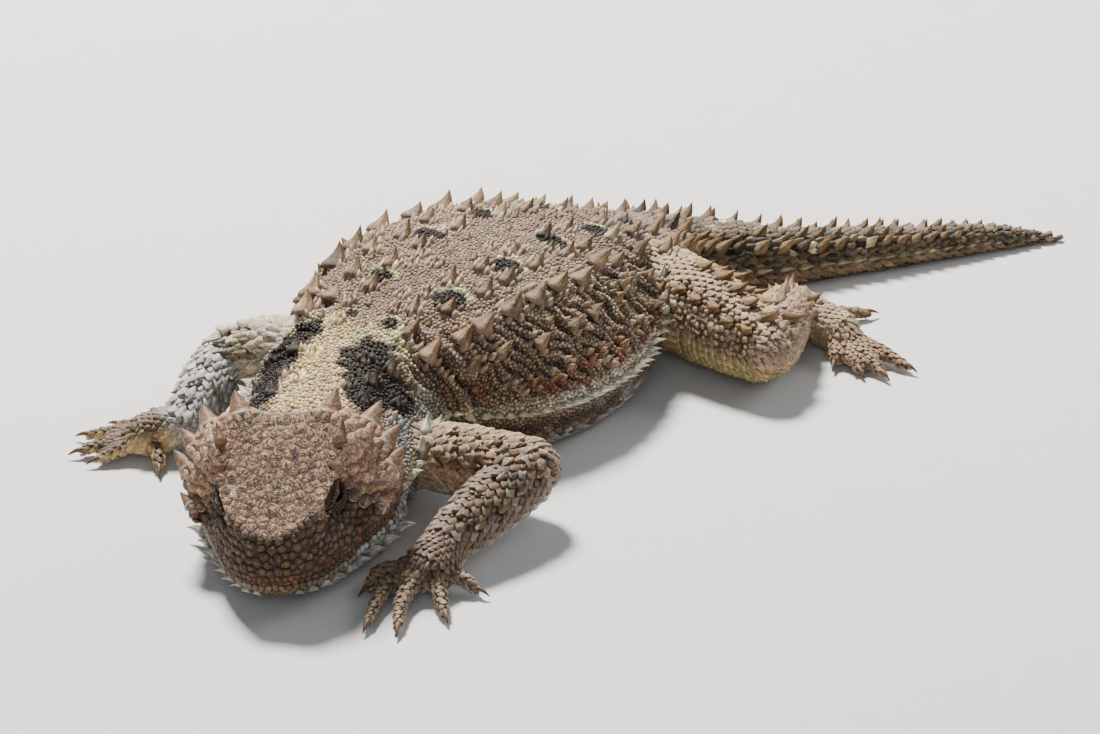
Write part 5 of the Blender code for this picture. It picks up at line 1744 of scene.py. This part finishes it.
def scale_material(name, streaks, pits, gloss, relief=0.0001, depth=1.0, pit_scale=2.7):
    """Streaks and pits that spread from each scale's middle, over a fine grain."""
    n = Nodes(name)
    place = n.add("ShaderNodeTexCoord").outputs["Object"]
    ground = n.attribute("ground").outputs["Color"]
    cell = n.add("ShaderNodeSeparateXYZ", {0: n.attribute("cell").outputs["Vector"]})
    u, v, seed = cell.outputs
    far = n.math("SQRT", n.math("ADD", n.math("MULTIPLY", u, u), n.math("MULTIPLY", v, v)))
    safe = n.math("MAXIMUM", far, 0.05)
    shift = n.math("MULTIPLY", seed, 61.0)
    ray_inputs = {"X": n.math("DIVIDE", u, safe), "Y": n.math("DIVIDE", v, safe), "Z": shift}
    ray = n.add("ShaderNodeCombineXYZ", ray_inputs).outputs[0]
    spot = n.add("ShaderNodeCombineXYZ", {"X": u, "Y": v, "Z": shift}).outputs[0]
    streak = n.noise(ray, 3.2, 2.0, 0.6)
    pit = n.noise(spot, pit_scale, 1.0, 0.5)
    fine = n.noise(place, 4200.0, 4.0, 0.62)
    broad = n.noise(place, 900.0, 3.0, 0.55)
    inner = n.span(far, 0.6, 0.82, 1.0, 0.0)
    dark_pit = n.math("MULTIPLY", n.span(pit, 0.5, 0.56, 0.0, pits), inner)
    mid = n.math("MULTIPLY", n.span(far, 0.1, 0.35, 0.0, 1.0), n.span(far, 0.75, 0.98, 1.0, 0.15))
    dark_ray = n.math("MULTIPLY", n.span(streak, 0.5, 0.58, 0.0, streaks), mid)
    marks = n.math("SUBTRACT", 1.0, n.math("MAXIMUM", dark_pit, dark_ray))
    light = n.math("MULTIPLY", marks, n.span(fine, 0.35, 0.65, 1 - 0.3 * depth, 1 + 0.28 * depth))
    light = n.math("MULTIPLY", light, n.span(broad, 0.35, 0.65, 1 - 0.2 * depth, 1 + 0.2 * depth))
    colour = n.scaled(ground, light)
    rough = n.span(fine, 0.3, 0.7, gloss + 0.05, min(gloss + 0.3, 1.0))
    height = n.math("ADD", n.math("MULTIPLY", marks, 0.55), n.math("MULTIPLY", fine, 0.45))
    return n.finish(colour, rough, height, relief, 0.8, 0.28)


def skin_material(name):
    n = Nodes(name)
    place = n.add("ShaderNodeTexCoord").outputs["Object"]
    ground = n.attribute("ground").outputs["Color"]
    fine = n.noise(place, 3000.0, 4.0, 0.65)
    broad = n.noise(place, 700.0, 3.0, 0.55)
    light = n.math("MULTIPLY", n.span(fine, 0.3, 0.7, 0.72, 1.22), n.span(broad, 0.3, 0.7, 0.85, 1.12))
    rough = n.span(fine, 0.3, 0.7, 0.62, 0.9)
    return n.finish(n.scaled(ground, light), rough, fine, 0.00006, 0.6, 0.3)


def horn_material(name, gloss=0.42):
    n = Nodes(name)
    place = n.add("ShaderNodeTexCoord").outputs["Object"]
    ground = n.attribute("ground").outputs["Color"]
    cell = n.add("ShaderNodeSeparateXYZ", {0: n.attribute("cell").outputs["Vector"]})
    u, v, seed = cell.outputs
    shift = n.math("MULTIPLY", seed, 61.0)
    ray = n.add("ShaderNodeCombineXYZ", {"X": u, "Y": v, "Z": shift}).outputs[0]
    grain = n.noise(ray, 2.6, 3.0, 0.6)
    fine = n.noise(place, 2400.0, 4.0, 0.6)
    light = n.math("MULTIPLY", n.span(grain, 0.44, 0.56, 0.42, 1.25), n.span(fine, 0.3, 0.7, 0.84, 1.14))
    rough = n.span(fine, 0.3, 0.7, gloss, gloss + 0.25)
    height = n.math("ADD", n.math("MULTIPLY", grain, 0.6), n.math("MULTIPLY", fine, 0.4))
    return n.finish(n.scaled(ground, light), rough, height, 0.0001, 0.8)


def eye_material(name):
    n = Nodes(name)
    ground = n.attribute("ground").outputs["Color"]
    place = n.add("ShaderNodeTexCoord").outputs["Object"]
    fine = n.noise(place, 5200.0, 4.0, 0.65)
    colour = n.scaled(ground, n.span(fine, 0.3, 0.7, 0.7, 1.35))
    rough = n.span(fine, 0.3, 0.7, 0.05, 0.1)
    return n.finish(colour, rough, fine, 0.00001, 0.1, 0.6)


def dress(item, material):
    item.data.materials.clear()
    item.data.materials.append(material)


# Separate solids

def shaped(name, places, colours, cells, sides):
    """A capped form with its colours and cell places."""
    count, size = places.shape[:2]
    item = new_object(name, places.reshape(-1, 3), ring_mesh(count, sides, (size - 1) // sides))
    store(item.data, "ground", "FLOAT_COLOR", np.clip(colours.reshape(-1, 3), 0, 1))
    store(item.data, "cell", "FLOAT_VECTOR", cells.reshape(-1, 3))
    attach(item, "root")
    return item


def cone_form(middles, radii, ups, tip, colours, seed, sides, ribs=0.0):
    """Rings round a bent line as one capped form."""
    angles = np.arange(sides) * 2 * math.pi / sides
    ways = unit(np.gradient(np.vstack((middles, tip)), axis=0))[:-1]
    ups = lie_along(ups, ways)
    side = np.cross(ways, ups)
    rows, tones, cells = [], [], []
    for k, (middle, radius) in enumerate(zip(middles, radii)):
        wave = 1 + ribs * (np.sin(7 * angles + 9 * seed) + 0.6 * np.sin(11 * angles + 20 * seed))
        wave += 5 * ribs * np.cos(4 * angles) * (k / len(radii))
        r = (radius * wave)[:, None]
        rows.append(middle + r * (np.cos(angles)[:, None] * ups[k] + np.sin(angles)[:, None] * side[k]))
        tones.append(np.repeat(colours[k][None], sides, 0))
        cells.append(np.stack((np.cos(angles), np.sin(angles), np.full(sides, seed + 0.02 * k)), 1))
    places = np.vstack(rows + [tip[None]])[None]
    tones = np.vstack(tones + [colours[-1][None]])[None]
    cells = np.vstack(cells + [np.array([[0, 0, seed]])])[None]
    return places, tones, cells


def make_horn(name, root, tip, radius, tones, material, seed):
    t = np.array((0.33, 0.39, 0.42, 0.445, 0.47, 0.5, 0.55, 0.62, 0.7, 0.78, 0.85, 0.91, 0.96))
    way = tip - root
    middles = root + way * t[:, None]
    collar = 1 + 0.09 * np.exp(-((t - 0.44) / 0.03) ** 2) - 0.04 * np.exp(-((t - 0.5) / 0.02) ** 2)
    radii = horn_girth(radius, t) * 1.04 * (0.4 + 0.6 * ramp(t, 0.3, 0.4)) * collar
    pale = mix(tones["horn"], tones["seam"], np.full(len(t), 0.5))
    body = mix(pale, np.tile(tones["horn"], (len(t), 1)), ramp(t, 0.44, 0.54))
    colours = mix(body, body * 0.4, ramp(t, 0.72, 0.98))
    up = np.array((0.0, 0.0, 1.0))
    form = cone_form(middles, radii, np.tile(up, (len(t), 1)), tip, colours, seed, 22, 0.012)
    item = shaped(name + "_horn", *form, 22)
    dress(item, material)
    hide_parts(name)
    return item


def make_eye(label, side):
    centre = from_head(np.array(EYE_PLACE) * np.array((side, 1, 1)))
    deselect()
    bpy.ops.mesh.primitive_uv_sphere_add(segments=40, ring_count=28, radius=EYE_RADIUS * MM)
    item = bpy.context.object
    item.name = "eye_" + label + "_ball"
    item.data.name = item.name
    look = unit(turn_from_head(np.array((side * 0.9, -0.32, 0.3))))
    points = points_of(item.data)
    facing = unit(points) @ look
    points += (unit(points) * 0.1 * ramp(facing, 0.78, 0.92)[:, None])
    iris = linear((92, 58, 30))
    colour = mix(linear((34, 24, 18)), iris, ramp(facing, 0.70, 0.80))
    colour = mix(colour, linear((6, 5, 5)), ramp(facing, 0.915, 0.935))
    put_points(item.data, points + centre)
    store(item.data, "ground", "FLOAT_COLOR", colour)
    bpy.ops.object.shade_smooth()
    dress(item, eye_material("eye_" + label + "_surface"))
    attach(item, "root")
    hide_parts("eye_" + label)
    return item


def lid_axes(side):
    """Middle of the eye, the way out of the slit, forward along it and up."""
    out = unit(np.array((side * 0.92, -0.12, 0.36)))
    ahead = unit(lie_along(np.array((0.0, -1.0, -0.1)), out[None])[0])
    up = np.cross(out, ahead)
    up = up if up[2] > 0 else -up
    return np.array(EYE_PLACE) * np.array((side, 1, 1)), out, ahead, up


def lid_point(side, turn, share, lift):
    """A place on the lids: share 0 at the slit's edge, 1 at the outer rim."""
    centre, out, ahead, up = lid_axes(side)
    upper = 0.9 if math.sin(turn) > 0 else 1.68
    half = np.array((1.5 + 0.75 * share, 0.52 + upper * share))
    p, q = half[0] * math.cos(turn), half[1] * math.sin(turn)
    sphere = EYE_RADIUS + lift - 0.35 * share * max(math.sin(turn), 0.0)
    rest = math.sqrt(max(sphere ** 2 - p * p - q * q, 0.0))
    return centre + out * rest + ahead * p + up * q


def make_lids(coat, label, side, tones):
    """A rim round the slit with rows of small scales that follow it."""
    sides = 40
    turns = np.arange(sides) * 2 * math.pi / sides
    lines = ((1.0, 0.1), (0.5, 0.12), (0.04, 0.12), (0.0, 0.22), (0.06, 0.36), (0.25, 0.4), (0.6, 0.4), (1.0, 0.36))
    rows = []
    for share, lift in lines:
        ridge = 0.05 * math.cos(share * 16)
        rows.append(np.array([lid_point(side, a, share, lift + ridge * (lift > 0.3)) for a in turns]))
    rows = np.array(rows)
    count = len(rows)
    points = from_head(rows.reshape(-1, 3))
    i = np.arange(sides)
    j = (i + 1) % sides
    faces = [np.stack((k * sides + i, k * sides + j, ((k + 1) % count) * sides + j,
                       ((k + 1) % count) * sides + i), 1) for k in range(count)]
    item = new_object("lids_" + label, points, [np.vstack(faces)])
    outward(item)
    item.data.shade_smooth()
    # The lids' dark base is painted shade under the brow; the ochre band at the slit is their own colour
    base = mix(tones["snout"], tones["blotch_and_shade"], np.full(len(points), 0.55))
    rim = np.zeros(len(points))
    rim[2 * sides:5 * sides] = 1.0
    store(item.data, "ground", "FLOAT_COLOR", mix(base, tones["chin_ochre"], 0.4 * rim))
    dress(item, skin_material("lids_" + label + "_surface"))
    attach(item, "root")
    spots, outs, ways = [], [], []
    middle = from_head(lid_axes(side)[0])
    for share, gap in ((0.07, 0.36), (0.28, 0.42), (0.5, 0.46), (0.72, 0.5), (0.93, 0.54)):
        ring = np.array([lid_point(side, a, share, 0.4) for a in np.linspace(0, 2 * math.pi, 121)])
        ring = walk(from_head(ring), gap)[0][:-1]
        spots.append(ring)
        outs.append(unit(ring - middle))
    spots, outs = np.vstack(spots), np.vstack(outs)
    keep = on_crown(into_head(spots)) < 0.3
    spots, outs = spots[keep], outs[keep]
    ways = lie_along(turn_from_head(lid_axes(side)[3]), outs)
    return item, (spots, outs, ways, np.full(len(spots), 0.25))


def make_claws(name, joints, toes, tones, material):
    forms = []
    for index, (knuckle, tip) in enumerate(toes):
        _, _, nail, end, ahead = toe_path(np.array(joints[3][0]), knuckle, tip)
        t = np.linspace(0, 0.94, 9)
        middles = nail - ahead * 0.3 + (end - nail + ahead * 0.3) * t[:, None]
        middles[:, 2] += 0.42 * np.sin(math.pi * t) * (1 - 0.35 * t)
        radii = 0.37 * (1 - t) ** 0.7
        colours = mix(tones["claw"] * 1.35, tones["claw"] * 0.45, t)
        ups = np.tile(np.array((0.0, 0.0, 1.0)), (len(t), 1))
        forms.append(cone_form(middles, radii, ups, end, colours, 0.13 * index + 0.2, 12, 0.01))
    places, colours, cells = (np.concatenate(parts) for parts in zip(*forms))
    places[..., 2] = np.maximum(places[..., 2], 0.03)
    item = shaped("claws_" + name, places, colours, cells, 12)
    dress(item, material)
    return item


# The plan that the pieces share

FLESH = (
    "head", "jaw", "neck", "torso", "tail_base", "tail_middle", "tail_tip",
    "upper_arm_left", "forearm_left", "hand_left", "upper_arm_right", "forearm_right", "hand_right",
    "thigh_left", "shin_left", "foot_left", "thigh_right", "shin_right", "foot_right",
)
SHARED = {}


def shared_coat():
    if "coat" not in SHARED:
        raise RuntimeError("Make the skin first")
    return SHARED["coat"]


def scale_batch(coat, kind, row=None):
    """One batch of scales of a kind, with their reach to each neighbour."""
    sides, near = KINDS[kind][1:3]
    row = coat.groups[kind] if row is None else row
    random = np.random.default_rng(len(row[0]) + len(kind))
    reach = reach_of(coat.seed_tree, coat.seed_points, coat.seed_sizes, row, sides, near)
    return plates(row, reach, kind, palette(), random, coat) + (sides, row[0])


def plant_seeds(coat):
    """One tree over all scales and spines, for their neighbours."""
    points = [row[0] for row in coat.groups.values()]
    sizes = [row[3] for row in coat.groups.values()]
    points.append(np.array([row[0] for row in coat.spines]))
    sizes.append(np.array([row[4] for row in coat.spines]) * 0.9)
    coat.seed_points, coat.seed_sizes = np.vstack(points), np.concatenate(sizes)
    coat.seed_tree = KDTree(len(coat.seed_points))
    for i, p in enumerate(coat.seed_points.tolist()):
        coat.seed_tree.insert(p, i)
    coat.seed_tree.balance()


def part_row(row, keep):
    return tuple(values[keep] for values in row)


class LizardSettings(bpy.types.PropertyGroup):
    """Sizes and colours that a user would change."""

    skin_detail: bpy.props.FloatProperty(
        name="Skin detail", description="Size of the skin's faces",
        default=0.00038, min=0.0002, max=0.001, precision=5, unit="LENGTH",
    )
    back_colour: bpy.props.FloatVectorProperty(
        name="Back", description="Colour of the back", subtype="COLOR",
        default=tuple(linear(COLOURS["back"])), min=0.0, max=1.0,
    )
    # Also sets the colour of the painted shade round the eyes and on the lids
    blotch_and_shade_colour: bpy.props.FloatVectorProperty(
        name="Patches", description="Colour of the dark patches", subtype="COLOR",
        default=tuple(linear(COLOURS["blotch_and_shade"])), min=0.0, max=1.0,
    )
    stripe_colour: bpy.props.FloatVectorProperty(
        name="Neck stripe", description="Colour of the pale stripe on the neck", subtype="COLOR",
        default=tuple(linear(COLOURS["stripe"])), min=0.0, max=1.0,
    )
    fringe_colour: bpy.props.FloatVectorProperty(
        name="Fringe", description="Colour of the fringe along the sides", subtype="COLOR",
        default=tuple(linear(COLOURS["fringe"])), min=0.0, max=1.0,
    )
    crown_colour: bpy.props.FloatVectorProperty(
        name="Crown", description="Colour of the top of the head", subtype="COLOR",
        default=tuple(linear(COLOURS["crown"])), min=0.0, max=1.0,
    )
    horn_colour: bpy.props.FloatVectorProperty(
        name="Horns", description="Colour of the horns", subtype="COLOR",
        default=tuple(linear(COLOURS["horn"])), min=0.0, max=1.0,
    )


class LIZARD_OT_skin(bpy.types.Operator):
    """Make the skin and choose the place of every scale"""

    bl_idname = "lizard.skin"
    bl_label = "Skin"

    def execute(self, context):
        skin = make_skin(context.scene.horned_lizard.skin_detail)
        if len(skin.data.vertices) < 1000:
            raise RuntimeError("The skin came out empty")
        coat = Coat(skin)
        SHARED["coat"] = coat
        colour = markings(coat.points, coat.normals)
        local = into_head(coat.points)
        head = in_head(coat.points)
        upper = np.maximum(on_crown(local), ramp(local[:, 1], -0.5, 0.8) * ramp(face_height(local), 0.3, 0.5))
        # The skin shows only between the scales: it is darkened to about a third as painted shade in those gaps,
        # except on the crown and temples, where it is a dimmed mix with the pale seam colour
        pale = mix(colour, linear(COLOURS["seam"]), np.full(len(local), 0.45)) * 0.75
        colour = mix(colour * 0.34, pale, head * upper)
        store(skin.data, "ground", "FLOAT_COLOR", np.clip(colour, 0, 1))
        dress(skin, skin_material("skin_surface"))
        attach(skin, "root")
        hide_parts(*FLESH)
        set_scales(coat)
        plant_seeds(coat)
        return {"FINISHED"}


class LIZARD_OT_head_scales(bpy.types.Operator):
    """Make the scales of the crown, temples, snout and lips"""

    bl_idname = "lizard.head_scales"
    bl_label = "Head scales"

    def execute(self, context):
        coat = shared_coat()
        crown = coat_object("crown_scales", coat, [scale_batch(coat, k) for k in ("crown", "brow")])
        dress(crown, scale_material("crown_surface", 0.85, 0.92, 0.5, 0.00016, 1.3, 1.7))
        face = coat_object(
            "face_scales", coat, [scale_batch(coat, k) for k in ("temple", "snout", "labial")])
        dress(face, scale_material("face_surface", 0.55, 0.65, 0.45, 0.0001, 1.3))
        return {"FINISHED"}


class LIZARD_OT_jaw_scales(bpy.types.Operator):
    """Make the scales of the lower jaw and throat"""

    bl_idname = "lizard.jaw_scales"
    bl_label = "Jaw scales"

    def execute(self, context):
        coat = shared_coat()
        jaw = coat_object("jaw_scales", coat, [scale_batch(coat, k) for k in ("chin", "jaw")])
        dress(jaw, scale_material("jaw_surface", 0.22, 0.1, 0.45))
        return {"FINISHED"}


class LIZARD_OT_body_scales(bpy.types.Operator):
    """Make the scales of the neck, back, flanks and belly"""

    bl_idname = "lizard.body_scales"
    bl_label = "Body scales"

    def execute(self, context):
        coat = shared_coat()
        neck = coat_object("neck_scales", coat, [scale_batch(coat, "neck")])
        dress(neck, scale_material("neck_surface", 0.15, 0.1, 0.48))
        back = coat_object("back_scales", coat, [scale_batch(coat, "back")])
        dress(back, scale_material("back_surface", 0.25, 0.15, 0.5))
        row = coat.groups["flank"]
        across = BodyPlace(row[0]).across
        for side, label in ((1, "left"), (-1, "right")):
            batch = scale_batch(coat, "flank", part_row(row, across * side > 0))
            flank = coat_object("flank_scales_" + label, coat, [batch])
            dress(flank, scale_material("flank_surface_" + label, 0.25, 0.15, 0.5))
        belly = coat_object("belly_scales", coat, [scale_batch(coat, "belly")])
        dress(belly, scale_material("belly_surface", 0.12, 0.1, 0.45))
        small = coat_object("rosette_scales", coat, [scale_batch(coat, "rosette")])
        dress(small, scale_material("rosette_surface", 0.25, 0.1, 0.45))
        return {"FINISHED"}


class LIZARD_OT_tail_scales(bpy.types.Operator):
    """Make the scales of the tail"""

    bl_idname = "lizard.tail_scales"
    bl_label = "Tail scales"

    def execute(self, context):
        coat = shared_coat()
        tail = coat_object("tail_scales", coat, [scale_batch(coat, "tail")])
        dress(tail, scale_material("tail_surface", 0.3, 0.15, 0.45))
        return {"FINISHED"}


class LIZARD_OT_leg_scales(bpy.types.Operator):
    """Make the scales of the legs and toes"""

    bl_idname = "lizard.leg_scales"
    bl_label = "Leg scales"

    def execute(self, context):
        coat = shared_coat()
        row = coat.groups["limb"]
        limb = LimbPlace(row[0]).limb
        arms = coat_object("arm_scales", coat, [scale_batch(coat, "limb", part_row(row, limb < 2))])
        dress(arms, scale_material("arm_surface", 0.3, 0.15, 0.42))
        legs = coat_object("leg_scales", coat, [scale_batch(coat, "limb", part_row(row, limb > 1))])
        dress(legs, scale_material("leg_surface", 0.3, 0.15, 0.44))
        toes = coat_object("toe_scales", coat, [scale_batch(coat, "toe")])
        dress(toes, scale_material("toe_surface", 0.3, 0.15, 0.4))
        return {"FINISHED"}


class LIZARD_OT_spines(bpy.types.Operator):
    """Make the spines of the fringe, back, tail, legs and jaw"""

    bl_idname = "lizard.spines"
    bl_label = "Spines"

    def execute(self, context):
        coat = shared_coat()
        random = np.random.default_rng(SEED + 9)
        places, colours, cells = spikes(coat.spines, palette(), random)
        kinds = np.array([row[5] for row in coat.spines])
        spots = np.array([row[0] for row in coat.spines])
        tail = BodyPlace(spots).along > 27
        legs = LimbPlace(spots).gap < 0.6
        jaw, head = kinds == "jaw", kinds == "head"
        groups = (
            ("jaw_spines", jaw, "jaw_scales"), ("head_spines", head, "head_scales"),
            ("leg_spines", legs & ~jaw & ~head, "leg_skin"),
            ("tail_spines", tail & ~legs & ~jaw & ~head, "tail_skin"),
            ("back_spines", ~tail & ~legs & ~jaw & ~head, "back_skin"),
        )
        for name, keep, slot in groups:
            batch = (places[keep], colours[keep], cells[keep], SPIKE_SIDES, spots[keep])
            item = coat_object(name, coat, [batch])
            dress(item, scale_material(name + "_surface", 0.6, 0.3, 0.42, 0.00025))
        return {"FINISHED"}


class LIZARD_OT_horns(bpy.types.Operator):
    """Make the horns round the back of the head"""

    bl_idname = "lizard.horns"
    bl_label = "Horns"

    def execute(self, context):
        tones = palette()
        for index, (name, root, tip, radius) in enumerate(horn_axes()):
            material = horn_material(name + "_surface")
            make_horn(name, root, tip, radius, tones, material, 0.07 + 0.09 * index)
        return {"FINISHED"}


class LIZARD_OT_eyes(bpy.types.Operator):
    """Make the eyes and the lids round them"""

    bl_idname = "lizard.eyes"
    bl_label = "Eyes"

    def execute(self, context):
        coat, tones = shared_coat(), palette()
        for side, label in ((1, "left"), (-1, "right")):
            make_eye(label, side)
            _, row = make_lids(coat, label, side, tones)
            tree = KDTree(len(row[0]))
            for i, p in enumerate(row[0].tolist()):
                tree.insert(p, i)
            tree.balance()
            reach = reach_of(tree, row[0], row[3], row, 8, 7)
            batch = plates(row, reach, "snout", tones, np.random.default_rng(SEED)) + (8, row[0])
            item = coat_object("lid_scales_" + label, coat, [batch])
            dress(item, scale_material("lid_scales_surface_" + label, 0.2, 0.1, 0.42))
        return {"FINISHED"}


class LIZARD_OT_claws(bpy.types.Operator):
    """Make the claws of the four feet"""

    bl_idname = "lizard.claws"
    bl_label = "Claws"

    def execute(self, context):
        tones = palette()
        for name, joints, bulges, toes in LEGS:
            make_claws(name, joints, toes, tones, horn_material("claws_" + name + "_surface", 0.3))
        return {"FINISHED"}


AZIMUTH = 44.5
ELEVATION = 28.0
DISTANCE = 0.4515
AIM = (0.00255, 0.0087, 0.0)
LENS = 133.0


def add_light(name, place, aim, energy, size, colour):
    deselect()
    bpy.ops.object.light_add(type="AREA", location=place)
    lamp = bpy.context.object
    lamp.name = name
    lamp.data.energy = energy
    lamp.data.shape = "DISK"
    lamp.data.size = size
    lamp.data.color = colour
    lamp.rotation_euler = (Vector(place) - Vector(aim)).to_track_quat("Z", "Y").to_euler()
    return lamp


class LIZARD_OT_stage(bpy.types.Operator):
    """Set the floor, the lights and the camera"""

    bl_idname = "lizard.stage"
    bl_label = "Stage"

    def execute(self, context):
        deselect()
        bpy.ops.mesh.primitive_plane_add(size=3.0, location=(0.0, 0.0, -0.0001))
        floor = bpy.context.object
        floor.name = "studio_floor"
        n = Nodes("floor_surface")
        place = n.add("ShaderNodeTexCoord").outputs["Object"]
        grain = n.noise(place, 240.0, 3.0, 0.6)
        tint = n.add("ShaderNodeMix", data_type="RGBA")
        tint.inputs["A"].default_value = (0.58, 0.57, 0.55, 1)
        tint.inputs["B"].default_value = (0.64, 0.63, 0.61, 1)
        n.tree.links.new(grain, tint.inputs["Factor"])
        dress(floor, n.finish(tint.outputs["Result"], n.span(grain, 0.3, 0.7, 0.7, 0.85), grain, 0.0001, 0.05))
        aim = (0.0, 0.0, 0.01)
        key = add_light("key_light", (-0.30, 0.14, 0.50), aim, 13.5, 0.14, (1.0, 0.975, 0.94))
        fill = add_light("fill_light", (0.45, -0.45, 0.35), aim, 1.1, 0.5, (0.92, 0.96, 1.0))
        rim = add_light("rim_light", (0.25, 0.6, 0.35), aim, 2.0, 0.4, (0.95, 0.97, 1.0))
        world = bpy.data.worlds.new("studio")
        world.use_nodes = True
        world.node_tree.nodes["Background"].inputs["Color"].default_value = (0.82, 0.88, 1.0, 1.0)
        world.node_tree.nodes["Background"].inputs["Strength"].default_value = 0.22
        bpy.context.scene.world = world
        turn, tilt = math.radians(AZIMUTH), math.radians(ELEVATION)
        back = Vector((math.sin(turn) * math.cos(tilt), -math.cos(turn) * math.cos(tilt), math.sin(tilt)))
        deselect()
        bpy.ops.object.camera_add(location=Vector(AIM) + back * DISTANCE)
        camera = bpy.context.object
        camera.name = "studio_camera"
        camera.rotation_euler = back.to_track_quat("Z", "Y").to_euler()
        camera.data.lens = LENS
        camera.data.sensor_width = 36.0
        camera.data.clip_start = 0.01
        bpy.context.scene.camera = camera
        return {"FINISHED"}


class LIZARD_PT_panel(bpy.types.Panel):
    """Lists the pieces of the lizard"""

    bl_idname = "LIZARD_PT_panel"
    bl_label = "Horned Lizard"
    bl_space_type = "VIEW_3D"
    bl_region_type = "UI"
    bl_category = "Lizard"

    def draw(self, context):
        column = self.layout.column()
        settings = context.scene.horned_lizard
        for key in LizardSettings.__annotations__:
            column.prop(settings, key)
        for operator in PIECES:
            column.operator(operator.bl_idname)


PIECES = (
    LIZARD_OT_skin, LIZARD_OT_head_scales, LIZARD_OT_jaw_scales, LIZARD_OT_body_scales,
    LIZARD_OT_tail_scales, LIZARD_OT_leg_scales, LIZARD_OT_spines, LIZARD_OT_horns,
    LIZARD_OT_eyes, LIZARD_OT_claws, LIZARD_OT_stage,
)
CLASSES = (LizardSettings,) + PIECES + (LIZARD_PT_panel,)


def register():
    for item in CLASSES:
        bpy.utils.register_class(item)
    bpy.types.Scene.horned_lizard = bpy.props.PointerProperty(type=LizardSettings)


def unregister():
    del bpy.types.Scene.horned_lizard
    for item in reversed(CLASSES):
        bpy.utils.unregister_class(item)


def main():
    register()
    deselect()
    bpy.ops.lizard.skin()
    bpy.ops.lizard.head_scales()
    bpy.ops.lizard.jaw_scales()
    bpy.ops.lizard.body_scales()
    bpy.ops.lizard.tail_scales()
    bpy.ops.lizard.leg_scales()
    bpy.ops.lizard.spines()
    bpy.ops.lizard.horns()
    bpy.ops.lizard.eyes()
    bpy.ops.lizard.claws()
    bpy.ops.lizard.stage()
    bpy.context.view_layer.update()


if __name__ == "__main__":
    main()
